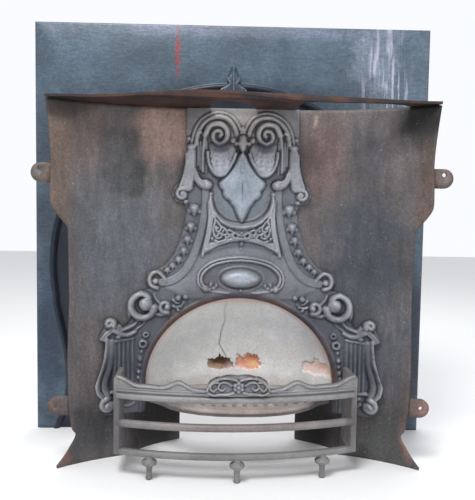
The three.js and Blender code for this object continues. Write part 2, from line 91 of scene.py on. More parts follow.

# %% [markdown]
# Small tools come first. A new piece gets its mesh from a bmesh, rides on the one body of the object,
# replaces its plain solid and takes its material.


# %% Hand a finished bmesh over as a piece
def place_piece(name, bm, nodes, material, smooth=True):
    mesh = bpy.data.meshes.new(name)
    bm.to_mesh(mesh)
    bm.free()
    for polygon in mesh.polygons:
        polygon.use_smooth = smooth
    piece = bpy.data.objects.new(name, mesh)
    bpy.context.scene.collection.objects.link(piece)
    mesh.materials.append(material)
    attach(piece, "root")
    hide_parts(*nodes)
    print(name, "has", len(mesh.polygons), "faces")


# %% [markdown]
# Ornament on a casting is low relief, so it is drawn as heights over a flat sheet. A stroke is a line
# with a width and a height, a boss is a rounded lump, and a field keeps the highest of them at each place.


# %% A field of heights
class Relief:
    """Heights over a flat sheet, in metres, on a regular grid of places."""

    def __init__(self, low_x, high_x, low_z, high_z, cell):
        self.columns = int(round((high_x - low_x) / cell)) + 1
        self.rows = int(round((high_z - low_z) / cell)) + 1
        self.xs = np.linspace(low_x, high_x, self.columns)
        self.zs = np.linspace(low_z, high_z, self.rows)
        self.cell = cell
        self.x, self.z = np.meshgrid(self.xs, self.zs)
        self.height = np.zeros_like(self.x)
        self.ground = np.zeros_like(self.x)

    def window(self, low_x, high_x, low_z, high_z):
        i0, i1 = np.searchsorted(self.xs, (low_x, high_x))
        j0, j1 = np.searchsorted(self.zs, (low_z, high_z))
        return slice(max(j0 - 1, 0), j1 + 1), slice(max(i0 - 1, 0), i1 + 1)

    def raise_to(self, window, height):
        self.height[window] = np.maximum(self.height[window], height)


# %% [markdown]
# A smooth line runs through a few given points, as a French curve would draw it. Ovals and spirals
# are worked out from their centre, because the eye sees at once when a round form is drawn by hand.


# %% Smooth lines and spirals
def smooth_line(points, steps=7):
    points = np.asarray(points, float)
    ends = np.vstack([2 * points[0] - points[1], points, 2 * points[-1] - points[-2]])
    t = np.linspace(0, 1, steps, endpoint=False)[:, None]
    out = []
    for a, b, c, d in zip(ends, ends[1:], ends[2:], ends[3:]):
        place = 2 * b + (c - a) * t
        place = place + (2 * a - 5 * b + 4 * c - d) * t**2
        out.append(0.5 * (place + (3 * b - a - 3 * c + d) * t**3))
    return np.vstack(out + [points[-1:]])


def polar(x, z, radius, angle):
    return x + radius * math.cos(math.radians(angle)), z + radius * math.sin(math.radians(angle))


def oval(x, z, half_x, half_z, count, first=0):
    """Equally spaced places round an oval, from an angle in degrees."""
    turn = np.radians(first + np.arange(count) * 360 / count)
    return np.column_stack([x + half_x * np.cos(turn), z + half_z * np.sin(turn)])


def spiral(x, z, from_radius, to_radius, from_angle, to_angle, count):
    turn = np.radians(np.linspace(from_angle, to_angle, count))
    radius = np.linspace(from_radius, to_radius, count)
    return np.column_stack([x + radius * np.cos(turn), z + radius * np.sin(turn)])


print("a line through 4 points becomes", len(smooth_line([(0, 0), (1, 0), (2, 1), (2, 2)])), "points")


# %% [markdown]
# A stroke measures, for each place near it, how far the place is from the line and how far along the line
# it lies. Its section can be round like a rope, flat like a strap, or fluted with a groove along each side.


# %% Strokes, bosses and outlines
def along_line(x, z, line):
    """How far each place is from a line, and which share of the line lies before the nearest place."""
    best = np.full(x.shape, 1e9)
    share = np.zeros(x.shape)
    lengths = np.hypot(*(line[1:] - line[:-1]).T)
    start = np.concatenate([[0], np.cumsum(lengths)])
    for k, (a, b) in enumerate(zip(line, line[1:])):
        run = b - a
        size = max(float(run @ run), 1e-12)
        t = np.clip(((x - a[0]) * run[0] + (z - a[1]) * run[1]) / size, 0, 1)
        off = np.hypot(x - a[0] - t * run[0], z - a[1] - t * run[1])
        near = off < best
        best = np.where(near, off, best)
        share = np.where(near, (start[k] + t * lengths[k]) / start[-1], share)
    return best, share


def section_round(q):
    return np.sqrt(np.clip(1 - q**2, 0, 1))


def section_band(q):
    return np.clip(1 - q**4, 0, 1) ** 0.6


def section_beaded(q):
    return section_band(q) * (0.66 + 0.34 * np.exp(-(((np.abs(q) - 0.68) / 0.22) ** 2)))


def section_triple(q):
    return section_band(q) * (0.84 + 0.16 * np.cos(3 * math.pi * q))


THIN_HEIGHT = 0.35


def stroke(relief, points, width, height, taper=(1, 1), section=section_round, steps=7, base=0, both=True):
    """Raises a line of a given half width and height, which may swell or thin from one end to the other."""
    line = smooth_line(np.asarray(points, float) * MM, steps)
    wide = max(taper) * width * MM
    for mirror in ((1, -1) if both else (1,)):
        run = line * (mirror, 1)
        low, high = run.min(axis=0) - wide, run.max(axis=0) + wide
        window = relief.window(low[0], high[0], low[1], high[1])
        off, share = along_line(relief.x[window], relief.z[window], run)
        scale = taper[0] + (taper[1] - taper[0]) * share
        q = off / (width * MM * scale)
        tall = height * MM * (THIN_HEIGHT + (1 - THIN_HEIGHT) * np.minimum(scale, 1))
        rise = relief.ground[window] + base + tall * section(q)
        relief.raise_to(window, np.where(q < 1, rise, 0))


def boss(relief, x, z, half_x, half_z, height, tilt=0, base=0, both=True):
    """Raises a rounded lump."""
    for mirror in ((1, -1) if both else (1,)):
        reach = max(half_x, half_z) * MM
        cx, cz = mirror * x * MM, z * MM
        window = relief.window(cx - reach, cx + reach, cz - reach, cz + reach)
        dx, dz = relief.x[window] - cx, relief.z[window] - cz
        turn = math.radians(tilt) * mirror
        u = dx * math.cos(turn) + dz * math.sin(turn)
        v = -dx * math.sin(turn) + dz * math.cos(turn)
        q = (u / (half_x * MM)) ** 2 + (v / (half_z * MM)) ** 2
        rise = relief.ground[window] + base + height * MM * np.sqrt(np.clip(1 - q, 0, 1))
        relief.raise_to(window, np.where(q < 1, rise, 0))


def carve(relief, strokes, bosses=(), **settings):
    """Draws a list of strokes and a list of bosses, one row for each, with the same settings for all."""
    for row in strokes:
        stroke(relief, *row, **settings)
    for row in bosses:
        boss(relief, *row, **settings)


def inside(x, z, outline):
    """How far each place lies inside a closed outline, negative outside it."""
    closed = np.vstack([outline, outline[:1]])
    off, _ = along_line(x, z, closed)
    odd = np.zeros(x.shape, bool)
    for a, b in zip(closed, closed[1:]):
        spans = (a[1] > z) != (b[1] > z)
        rise = b[1] - a[1] if b[1] != a[1] else 1e-12
        odd ^= spans & (x < (b[0] - a[0]) * (z - a[1]) / rise + a[0])
    return np.where(odd, off, -off)


print("strokes, bosses and outlines are ready")

# %% [markdown]
# A cast sheet is a grid of small squares. The squares outside the outline are deleted, the rim is pulled on
# to the outline, the heights push the front out, and the rim is drawn back to give the iron its thickness.
# How far a place stands over its blurred surroundings is kept with it, as the attribute cavity.


# %% Turn a field of heights into a bent, closed casting
WIDE_BLUR, WIDE_SHARE = 9 * MM, 0.22
FINE_BLUR, FINE_SHARE = 3.5 * MM, 0.9
OUTSIDE_CELLS = 0.45
PULL_CELLS = 1.6
FLAT_ANGLE = math.radians(0.3)


def blur(field, cell, length):
    reach = max(int(round(length / cell)), 1)
    kernel = np.ones(2 * reach + 1) / (2 * reach + 1)
    padded = np.pad(field, reach, mode="edge")
    rows = np.apply_along_axis(lambda line: np.convolve(line, kernel, "valid"), 0, padded)
    return np.apply_along_axis(lambda line: np.convolve(line, kernel, "valid"), 1, rows)


def mirrored_outline(half):
    half = np.asarray(half, float)
    left = half[half[:, 0] > 1e-9][::-1] * (-1, 1)
    return np.vstack([half, left]) * MM


def nearest_on(outline, x, z):
    closed = np.vstack([outline, outline[:1]])
    best, place = 1e9, (x, z)
    for a, b in zip(closed, closed[1:]):
        run = b - a
        t = min(max(((x - a[0]) * run[0] + (z - a[1]) * run[1]) / max(float(run @ run), 1e-12), 0), 1)
        px, pz = a[0] + t * run[0], a[1] + t * run[1]
        off = (px - x) ** 2 + (pz - z) ** 2
        if off < best:
            best, place = off, (px, pz)
    return place


def faceted(bend, x, facet):
    """The bend as a row of flat facets, for a plain back."""
    low = np.floor(x / facet) * facet
    share = (x - low) / facet
    return bend(low) * (1 - share) + bend(low + facet) * share


def cast_sheet(relief, outline, back, holes=(), facet=None, bend=cove_y, centre_x=axis_x, rim_field=None):
    """A closed casting: front at the relief's heights, rim on the outline, back at a plain depth."""
    distance = inside(relief.x, relief.z, outline)
    for hole in holes:
        distance = np.minimum(distance, -inside(relief.x, relief.z, hole))
    rims = np.zeros(relief.x.shape) if rim_field is None else rim_field
    bm = bmesh.new()
    bmesh.ops.create_grid(bm, x_segments=relief.columns - 1, y_segments=relief.rows - 1, size=0.5)
    bm.verts.ensure_lookup_table()
    cavity = bm.verts.layers.float.new("cavity")
    tall = bm.verts.layers.float.new("tall")
    rim = bm.verts.layers.float.new("rim")
    over_wide = relief.height - blur(relief.height, relief.cell, WIDE_BLUR)
    over_fine = relief.height - blur(relief.height, relief.cell, FINE_BLUR)
    proud = (WIDE_SHARE * over_wide + FINE_SHARE * over_fine) / MM
    flat_distance = []
    for vert in bm.verts:
        i = int(round((vert.co.x + 0.5) * (relief.columns - 1)))
        j = int(round((vert.co.y + 0.5) * (relief.rows - 1)))
        vert.co = (relief.xs[i], relief.height[j, i], relief.zs[j])
        vert[cavity] = float(proud[j, i])
        vert[tall] = float(relief.height[j, i]) / MM
        vert[rim] = float(rims[j, i])
        flat_distance.append(distance[j, i])
    limit = -OUTSIDE_CELLS * relief.cell
    outside = [f for f in bm.faces if any(flat_distance[v.index] < limit for v in f.verts)]
    bmesh.ops.delete(bm, geom=outside, context="FACES")
    all_lines = [outline, *holes]
    for vert in bm.verts:
        if vert.is_boundary:
            options = [nearest_on(line, vert.co.x, vert.co.z) for line in all_lines]
            x, z = min(options, key=lambda p: (p[0] - vert.co.x) ** 2 + (p[1] - vert.co.z) ** 2)
            if (x - vert.co.x) ** 2 + (z - vert.co.z) ** 2 < (PULL_CELLS * relief.cell) ** 2:
                vert.co.x, vert.co.z = x, z
    copied = bmesh.ops.extrude_face_region(bm, geom=list(bm.faces), use_keep_orig=True)
    moved = {e for e in copied["geom"] if isinstance(e, bmesh.types.BMVert)}
    for vert in bm.verts:
        if vert in moved:
            vert.co.y = back
            vert[cavity] = 0.0
            vert[tall] = 0.0
    x = np.array([v.co.x for v in bm.verts])
    bent = bend(x)
    bent_back = faceted(bend, x, facet) if facet else bent
    for k, vert in enumerate(bm.verts):
        curve = bent_back[k] if vert in moved else bent[k]
        vert.co = (x[k] + centre_x, front_line + curve - vert.co.y, vert.co.z)
    if facet:
        backs = [f for f in bm.faces if all(v in moved for v in f.verts)]
        edges = list({e for f in backs for e in f.edges if all(v in moved for v in e.verts)})
        bmesh.ops.dissolve_limit(
            bm, angle_limit=FLAT_ANGLE, verts=[], edges=edges, use_dissolve_boundaries=False
        )
    bmesh.ops.recalc_face_normals(bm, faces=bm.faces)
    return bm


print("cast sheets are ready")

# %% [markdown]
# The other pieces get the same attribute from their own shape. Cavity is negative in corners, which the
# finish darkens for soot and dirt and as painted shade, and positive on edges, which are rubbed bright.
# Measuring it on the mesh lets one finish fit every casting.


# %% Measure hollows and edges on any mesh
CAVITY_GAIN = 2.2


def measure_cavity(bm, rounds=1):
    cavity = bm.verts.layers.float.get("cavity") or bm.verts.layers.float.new("cavity")
    bm.normal_update()
    for vert in bm.verts:
        total = 0.0
        for edge in vert.link_edges:
            away = edge.other_vert(vert).co - vert.co
            total -= away.normalized().dot(vert.normal)
        vert[cavity] = CAVITY_GAIN * total / max(len(vert.link_edges), 1)
    for _ in range(rounds):
        smoothed = []
        for vert in bm.verts:
            around = sum(edge.other_vert(vert)[cavity] for edge in vert.link_edges)
            smoothed.append((vert[cavity] + around) / (1 + len(vert.link_edges)))
        for vert, value in zip(bm.verts, smoothed):
            vert[cavity] = value


def ring_wall(bm, rings, closed=True, caps=True):
    """Joins equal rings of places with squares, and closes the two ends."""
    made = [[bm.verts.new(place) for place in ring] for ring in rings]
    count = len(made[0])
    for near, far in zip(made, made[1:]):
        for k in range(count if closed else count - 1):
            n = (k + 1) % count
            bm.faces.new((near[k], near[n], far[n], far[k]))
    if caps:
        bm.faces.new(made[0][::-1])
        bm.faces.new(made[-1])
    return made


def bevel_edges(bm, edges, width):
    bmesh.ops.bevel(
        bm, geom=edges, offset=width, affect="EDGES", segments=2, profile=0.5, material=-1,
        clamp_overlap=True,
    )


def ripple(x, z, size, seed):
    """A gentle unevenness between -1 and 1, the same on every run."""
    waves = np.sin(x / size * 1.7 + seed) + np.sin(z / size * 1.3 + 2.1 * seed)
    return (waves + np.sin((x + z) / size + 0.7 * seed)) / 3


print("edge tools are ready")

# %% [markdown]
# The hood panel carries all of the ornament. The lists below are its drawing, in millimetres: the first
# number is the distance from the centre line, the second the height over the floor, and each side mirrors.

# %% Draw the panel's outline and start its field
BODY_TOP = 762.7
PANEL_EDGE = [
    (0, BODY_TOP), (122, BODY_TOP), (122, 668), (126, 660), (137, 604), (148, 590), (152, 574),
    (144, 560), (124, 556), (120, 540), (126, 505), (134, 474), (146, 446), (166, 420), (184, 410),
    (203, 406), (209, 388), (199, 368), (218, 366), (237, 356), (247, 333), (240, 302), (254, 286),
    (268, 305), (281, 311), (293, 302), (292, 286), (304, 264), (288, 258), (290, 226), (297, 196),
    (307, 166), (303, 146), (295, 136), (303, 118), (296, 102), (280, 96), (0, 96),
]
panel = Relief(-311 * MM, 311 * MM, 95 * MM, 763 * MM, 1.85 * MM)
panel.ground[:] = PANEL_BASE


def arch_line(margin, bottom, count=60):
    turn = np.linspace(0, math.pi, count)
    x = (ARCH_X + margin) * np.cos(turn)
    z = ARCH_SPRING + (ARCH_RISE + margin) * np.sin(turn)
    return np.vstack([np.column_stack([x, z]), [(-ARCH_X - margin, bottom), (ARCH_X + margin, bottom)]])


def shapes_of(relief, edge, soft, both):
    """Each side of an outline: its window, its places in millimetres and how far in they lie, 0 to 1."""
    edge = np.asarray(edge, float)
    if edge[0, 0] == 0 and edge[-1, 0] == 0:
        edge, both = np.vstack([edge, edge[-2:0:-1] * (-1, 1)]), False
    for mirror in ((1, -1) if both else (1,)):
        outline = edge * MM * (mirror, 1)
        low, high = outline.min(axis=0), outline.max(axis=0)
        window = relief.window(low[0], high[0], low[1], high[1])
        x, z = relief.x[window], relief.z[window]
        yield window, mirror * x / MM, z / MM, np.clip(inside(x, z, outline) / (soft * MM), 0, 1)


def grow(relief, edge, height, soft, both=True, ribs=None):
    """Raises an outlined shape, rounded over at its rim, with ribs if a rib drawing is given."""
    for window, x, z, share in shapes_of(relief, edge, soft, both):
        tall = height * MM * (1 - (1 - share) ** 2)
        if ribs is not None:
            tall = tall * ribs(x, z)
        relief.raise_to(window, np.where(share > 0, relief.ground[window] + tall, 0))


def level(relief, edge, height, soft):
    """Lifts or sinks the ground inside an outline, with a soft bank along its edge."""
    for window, _, _, share in shapes_of(relief, edge, soft, True):
        relief.ground[window] += height * MM * share**2 * (3 - 2 * share)
    relief.height = np.maximum(relief.ground, 0)


def soften_field(field):
    """Each height, half of it from the four beside it, which takes the stair steps off steep banks."""
    padded = np.pad(field, 1, mode="edge")
    near = padded[:-2, 1:-1] + padded[2:, 1:-1] + padded[1:-1, :-2] + padded[1:-1, 2:]
    return 0.5 * field + 0.125 * near


print("the panel's field has", panel.rows, "rows of", panel.columns, "places")

# %% [markdown]
# First come the grounds, the broad quiet levels that the ornament stands on: the body inside the bell
# shaped moulding, the little apron that carries the lace, and the hood over the oval.

# %% The grounds of the panel
BELL = [
    (80, 592), (80, 566), (82, 535), (90, 488), (102, 450), (116, 420), (133, 399), (152, 387),
    (172, 383),
]
bell_inner = [(x - 4, z - 4) for x, z in smooth_line(BELL, 3)]
BELL_BODY = [(0, 508), (46, 524), (64, 560), (72, 592)] + bell_inner + [(172, 366), (120, 340), (0, 340)]
level(panel, BELL_BODY, 4, 12)
level(panel, [(0, 440), (32, 438), (62, 430), (80, 414), (88, 395), (86, 382), (74, 366), (0, 356)], -3, 12)
level(panel, [(0, 480), (30, 476), (60, 462), (84, 446), (70, 438), (40, 448), (0, 452)], -2.5, 14)
APRON = [
    (0, 509), (25, 512), (45, 523), (60, 543), (68, 576), (75, 560), (75, 525), (79, 492), (85, 462),
    (89, 441), (68, 455), (50, 465), (25, 473), (0, 476),
]
level(panel, APRON, 6.5, 2.5)
LACE_FIELD = [
    (0, 501), (25, 505), (44, 516), (57, 533), (62, 540), (64, 520), (67, 492), (72, 470), (62, 470),
    (44, 475), (22, 481), (0, 483),
]
level(panel, LACE_FIELD, -4.5, 2)
print("the grounds rise to", round(panel.ground.max() / MM, 1), "mm")

# %% [markdown]
# The crest is a double volute under the top strip, with a bud where the two halves meet. Under each volute
# hangs a shell like a scoop, low at the top and standing well proud at its lower rim.

# %% The crest and its shells
OUTER_RIDGE = [
    (111, 688), (108, 704), (102, 721), (91, 737), (75, 748), (57, 753), (37, 751), (21, 742),
    (10, 727), (6, 717),
]
BROAD_BAND = [
    (101, 686), (99, 702), (94, 716), (84, 730), (70, 740), (55, 744), (39, 742), (26, 733), (17, 719),
    (13, 708),
]
VOLUTE_X, VOLUTE_Z = 51.5, 705.5
VOLUTE_TURN = [
    (0, 30), (45, 27.5), (90, 23.5), (135, 20), (180, 17.6), (225, 17.4), (270, 18.2), (315, 16),
    (360, 13.4), (405, 11.2), (450, 9), (495, 6.6), (540, 5), (600, 3),
]
volute = [polar(VOLUTE_X, VOLUTE_Z, radius, angle) for angle, radius in VOLUTE_TURN]
for x, foot, head, wide in ((79, 624, 690, 2.4), (92, 630, 690, 2.4), (97, 640, 684, 2)):
    stroke(panel, [(x, foot), (x + 0.5, (foot + head) / 2), (x, head)], wide, 5)
BUD = [(0, 708), (8, 703), (10, 694), (16, 686), (10, 681), (7, 672), (0, 664)]
grow(panel, BUD, 17, 7)
for x, z in oval(0, 715, 5, 5, 5, first=90):
    boss(panel, x, z, 3.8, 3.8, 13, both=False)


def scoop(x, z):
    """A shell, hollow under the volute, that turns up in a thick rim, with fine ribs round its hinge."""
    reach = np.clip((np.hypot(x - 50, z - 700) - 12) / 74, 0, 1)
    angle = np.arctan2(x - 47, z - 712)
    ribs = 0.026 * np.cos(angle * 30) * np.clip(reach * 2, 0, 1) + 0.02 * np.cos(reach * 40)
    return 0.14 + 0.86 * reach**1.15 + ribs


SHELL = [
    (13, 664), (13, 676), (21, 687), (36, 689), (52, 689), (64, 690), (75, 687), (76, 668), (75, 655),
    (72, 637), (63, 620), (50, 612.5), (39, 616), (28, 629), (18, 648),
]
LEAF = [
    (0, 668), (9, 664), (22, 638), (36, 621), (48, 609), (53, 602), (50, 592), (43, 584), (43, 575),
    (37, 567), (29, 563), (24, 555), (19, 549), (15, 539), (9, 525), (3, 516), (0, 515),
]


def leaf_veins(x, z):
    off = np.abs(x)
    angle = np.arctan2(off, 668 - z)
    vein = 0.045 * np.cos(angle * 22) + 0.025 * np.cos(angle * 41 + z / 9)
    ends = np.clip((612 - z) / 14, 0, 1) * np.clip((z - 550) / 14, 0, 1)
    furrow = -0.2 * np.exp(-((x / 1.8) ** 2)) * ends
    swell = 0.16 * np.exp(-(((off - 26) / 15) ** 2) - ((z - 596) / 18) ** 2)
    tip = 0.14 * np.exp(-((off / 10) ** 2) - ((z - 552) / 16) ** 2)
    return 0.78 + vein + furrow + swell + tip + 0.06 * np.cos((z - 590) / 15)


grow(panel, LEAF, 17, 8, ribs=leaf_veins)
grow(panel, SHELL, 25, 9, ribs=scoop)
SHELL_RIM = [
    (76, 668), (75, 654), (71, 638), (62, 623), (50, 617), (39, 620), (30, 632), (20, 650), (15, 664),
]
for x, z in ((68, 646), (62, 633), (53, 626), (43, 628), (34, 638), (26, 652)):
    hinge = (50 + 0.35 * (x - 50), 696 + 0.35 * (z - 696))
    middle = (50 + 0.7 * (x - 50), 694 + 0.7 * (z - 694))
    stroke(panel, [hinge, middle, (x, z)], 1.8, 22, (0.15, 1))
for height, size in ((663, 5), (647.5, 4), (635, 3.6), (625, 3.1)):
    boss(panel, 0, height, size, size, 19, both=False)
carve(
    panel,
    [
        (OUTER_RIDGE, 3.4, 7),
        (BROAD_BAND, 6, 9.5, (0.95, 0.85), section_band),
        (BROAD_BAND, 2.4, 11.5),
        ([(86, 626), (86, 650), (85.5, 675)] + volute[:1], 4.4, 10, (0.8, 1), section_round, 5),
        (volute, 6.9, 14, (0.95, 0.55), section_band, 6),
        (SHELL_RIM, 5, 27, (0.6, 0.8)),
    ],
    [
        (21, 694, 6, 6, 13), (117, 697, 4.2, 4.6, 8), (111, 679, 11, 7, 13, -6),
        (92.5, 710, 4.6, 4.6, 13), (14, 687, 4.5, 4.5, 12), (0, 715, 3, 3, 17),
    ],
)
print("the crest stands", round(panel.height.max() / MM, 1), "mm proud")

# %% [markdown]
# A crescent cups the leaf's point. Below it the apron is covered with a lace of small curls, and two drops
# hang from its lower edge.

# %% The crescent and the lace
LACE = [
    [(62, 536), (58, 524), (60, 510), (62, 498), (60, 488)],
    [(58, 522), (50, 514), (45, 504), (49, 496), (56, 499), (56, 507)],
    [(60, 488), (53, 481), (45, 483), (44, 491), (51, 492)],
    [(47, 508), (38, 503), (31, 495), (36, 488), (43, 491)],
    [(58, 476), (48, 474), (36, 479), (28, 486), (32, 493)],
    [(28, 500), (20, 496), (17, 489), (24, 485), (28, 490)],
    [(14, 494), (7, 489), (0, 487)],
    [(18, 484), (10, 481), (0, 480)],
]
for line in LACE:
    stroke(panel, line, 2.3, 7, (1, 0.7), steps=4)
KNOTS = [
    (59, 514), (53, 503), (40, 497), (52, 487), (34, 484), (22, 490), (8, 484), (0, 493), (60, 527),
    (64, 480),
]
for x, z in KNOTS:
    boss(panel, x, z, 2.6, 2.6, 8)
carve(
    panel,
    [
        ([(68, 574), (64, 550), (53, 530), (33, 515), (0, 508)], 6.4, 7, (0.6, 1)),
        ([(60, 570), (54, 550), (43, 535), (26, 524), (0, 519)], 1.6, 2.5),
        ([(66, 562), (64, 532), (66, 506), (71, 480), (79, 454)], 1.7, 3),
        ([(72, 568), (71, 532), (74, 502), (80, 472), (86, 448)], 1.7, 3),
        ([(84, 445), (66, 457), (48, 467), (24, 474), (0, 477)], 2.2, 3),
    ],
    [
        (68, 578, 4.5, 4.5, 9), (77, 455, 4.5, 4.5, 6), (84, 443, 4, 4, 8), (0, 470, 4, 5, 9),
        (0, 458, 3.4, 4.2, 6),
    ],
)
print("the crescent and lace are drawn")

# %% [markdown]
# The bell moulding sweeps down each side to a curl. Outside it hang a leafy scroll, a console with a volute
# for a foot, and a chain of husks that grow smaller toward the arch.

# %% The bell moulding, the consoles and the husks
HALF_HUSK = [(0, 1.15), (0.7, 0.95), (1, 0.45), (0.78, -0.25), (0.38, -0.8), (0, -1.35)]
HUSK = HALF_HUSK + [(-x, z) for x, z in HALF_HUSK[-2:0:-1]]
HUSKS = [
    (104, 542, 11.5), (111, 504, 10), (118, 476, 8.5), (126, 451, 7.6), (137, 432, 7), (150, 419, 6.4),
    (161, 409, 5.6),
]
for x, z, size in HUSKS:
    grow(panel, [(x + 1.12 * size * u, z + 1.15 * size * v) for u, v in HUSK], 6 + 0.8 * size, 0.9 * size)
    for side in (-0.95, 0.95):
        boss(panel, x + size * side, z - size * 0.2, size * 0.4, size * 0.55, 6)
carve(
    panel,
    [
        (BELL, 9.5, 5.5, (0.85, 1), section_triple),
        (
            [(164, 388), (172, 398), (182, 406), (193, 403), (199, 391), (195, 377), (183, 371)],
            5.4, 9, (0.8, 1),
        ),
        ([(104, 630), (101, 615), (94, 604), (85, 598), (78, 597)], 11, 14, (0.45, 1)),
        ([(99, 624), (94, 611), (86, 605), (78, 606)], 3.2, 17, (0.7, 1)),
        ([(111.5, 668), (112, 645), (114, 620), (119, 594)], 11.6, 10, (0.92, 1.1), section_band),
        ([(121, 664), (122, 640), (128, 612), (135, 592)], 3.6, 9),
        (spiral(130, 576, 13, 4, 110, -300, 20), 5.2, 11, (1.05, 0.7), section_round, 3),
    ],
    [
        (186, 386, 7, 7, 12), (76, 597, 11.5, 10.5, 18), (130, 576, 5.5, 5.5, 14), (122, 560, 6, 5, 8),
    ],
)
print("the sides are drawn")

# %% [markdown]
# Over the arch sits an oval boss with a hammered face under its own hood, and from it a great scroll rolls
# round a ball at each shoulder.


# %% The oval boss and the shoulder scrolls
def hammered(x, z):
    dents = np.cos(x * 0.9 + 1.3 * np.sin(z * 0.5)) * np.cos(z * 1.15 + 1.1 * np.sin(x * 0.43))
    return 1 + 0.085 * dents + 0.04 * ripple(x, z, 3.5, 1.0)


OVAL_Z = 392
grow(panel, oval(0, OVAL_Z, 45, 21.5, 40), 15, 18, both=False, ribs=hammered)
oval_rim = oval(0, OVAL_Z, 51.3, 27.09, 40)
stroke(panel, np.vstack([oval_rim, oval_rim[:1]]), 1.9, 3, both=False, steps=2)
OVAL_HOOD = [(80, 367), (90, 376), (94, 390), (91, 405), (80, 418), (60, 430), (32, 437), (0, 440)]
for x, z, tall, wide in ((66, 378, 6, 3.5), (60, 371, 3.5, 5), (68, 368, 4, 3.2), (54, 376, 4, 3)):
    boss(panel, x, z, wide, tall, 7, 20)
GREAT_C = [(a, 26.5 - max(a - 78, 0) * 0.16 + min(a + 90, 0) * 0.04) for a in range(126, -171, -6)]
great = [polar(211, 333, radius, angle) for angle, radius in GREAT_C]
carve(
    panel,
    [
        (OVAL_HOOD, 2.4, 6),
        ([(74, 372), (83, 378), (87, 390), (84, 402), (73, 414), (55, 424), (29, 430.5), (0, 433)], 3, 7),
        ([(62, 364), (44, 362), (20, 359), (0, 358)], 2.6, 4),
        (great, 8.8, 15, (0.72, 1), section_round, 2),
        ([(192, 322), (184, 314), (174, 311), (162, 314)], 5, 7),
        (spiral(164, 329, 13.5, 8, -110, 150, 18), 6.4, 11, (1, 0.7), section_round, 3),
        ([(178, 338), (186, 348), (190, 358)], 4, 6, (1, 0.5)),
        ([(148, 344), (142, 338), (136, 336)], 3.5, 7, (1, 0.6)),
        ([(148, 330), (140, 328), (131, 331), (124, 338)], 3.6, 7, (1, 0.5)),
        ([(237, 352), (226, 364), (214, 367)], 3, 4, (1, 0.5)),
        ([(241, 324), (243, 308), (248, 298), (258, 291)], 5.5, 8, (1, 0.7)),
        ([(222, 304), (230, 292), (243, 285), (256, 281)], 4.5, 7, (0.7, 1)),
        ([(206, 302), (212, 292), (222, 284), (232, 276)], 3, 5, (0.7, 1)),
    ],
    [
        (77, 370, 8, 7.5, 12), (0, 366, 4, 3.5, 7), (206, 336, 15.5, 15.5, 20), (193, 322, 7, 7, 15),
        (160, 328, 8, 8, 14), (137, 348, 6.8, 6.5, 11), (121, 350, 5.6, 5.4, 9), (137, 322, 5, 4, 8, 30),
        (130, 329, 4, 4, 7),
    ],
)
print("the shoulders are drawn")

# %% [markdown]
# Each lower corner is a fluted pilaster between the arch and a slim console, with a snail over it and a
# volute for its foot. A chain of rings and drops follows the arch.

# %% The pilasters, the feet and the chain
for x in (234, 243, 252, 261, 269):
    stroke(panel, [(x, 152), (x, 256)], 3.4, 3.4)
for x, z, size in ((206, 268, 5), (212, 248, 7)):
    ring = oval(x, z, size, size, 12)
    stroke(panel, np.vstack([ring, ring[:1]]), size * 0.48, 7, steps=2)
for x, z, size in ((215, 231, 4), (218, 214, 4.6), (219, 200, 3.4), (221, 186, 4.4), (222, 174, 3.6)):
    boss(panel, x, z, size, size * 1.25, 7)
carve(
    panel,
    [
        (spiral(279, 297, 10, 3, 220, -200, 18), 4.6, 14, (1, 0.8), section_round, 3),
        ([(258, 290), (266, 285), (276, 281), (286, 273), (294, 262)], 7, 9, (0.8, 0.9), section_beaded),
        ([(228, 276), (242, 270), (256, 272), (270, 281)], 7, 9, (0.7, 1)),
        ([(232, 261), (250, 259), (270, 257)], 3.4, 5),
        (
            [(276, 258), (277, 232), (280, 204), (287, 180), (290, 160), (285, 142)],
            7, 7, (0.8, 1), section_band,
        ),
        (
            [(285, 262), (286, 240), (289, 216), (297, 192), (303, 170), (303, 152), (296, 138)],
            6.4, 12, (0.72, 1.1),
        ),
        ([(229, 148), (252, 144), (276, 146)], 4, 6),
        ([(230, 134), (252, 131), (262, 134)], 4, 5),
        (spiral(282, 119, 14, 4, 80, -280, 22), 7.6, 13, (1.05, 0.75), section_round, 3),
        ([(264, 122), (254, 116), (240, 114), (230, 118)], 4, 6, (1, 0.7)),
    ],
    [
        (279, 297, 13.5, 13, 8), (262, 266, 7, 5, 9), (282, 119, 7.5, 7.5, 17),
    ],
)
print("the corners are drawn")

# %% The collar round the fire opening
COLLAR = 10 * MM
COLLAR_RISE = 3.2 * MM
fire_opening = arch_line(0, 90 * MM)
off_arch = -inside(panel.x, panel.z, fire_opening)
slope = np.clip(off_arch / COLLAR, 0, 1)
collar = PANEL_BASE + COLLAR_RISE * slope * (2 - slope)
panel.height = np.where(off_arch < COLLAR + 1 * MM, collar, panel.height)
panel.height = soften_field(panel.height)
print("the panel has", int((panel.height > PANEL_BASE + 1 * MM).sum()), "raised places")

# %% [markdown]
# The finishes come next. Each one is built from a few shared effects. A soft patch is a cloudy mask at a
# given spot on the casting. An old iron surface is mottled, pitted and rusted, dark in its hollows
# and rubbed on its edges. Both are node groups, so each material sets its own values.


# %% Small shader tools
def colour(red, green, blue):
    """A colour given as it looks on a screen, 0 to 255, as the linear colour the shader works with."""
    linear = [((c / 255 + 0.055) / 1.055) ** 2.4 if c > 10 else c / 3295 for c in (red, green, blue)]
    return (*linear, 1.0)


def feed(socket, value):
    if isinstance(value, bpy.types.NodeSocket):
        socket.id_data.links.new(value, socket)
    elif value is not None:
        socket.default_value = value


def calc(tree, operation, first, second=None, third=None):
    node = tree.nodes.new("ShaderNodeMath")
    node.operation = operation
    feed(node.inputs[0], first)
    feed(node.inputs[1], second)
    feed(node.inputs[2], third)
    return node.outputs[0]


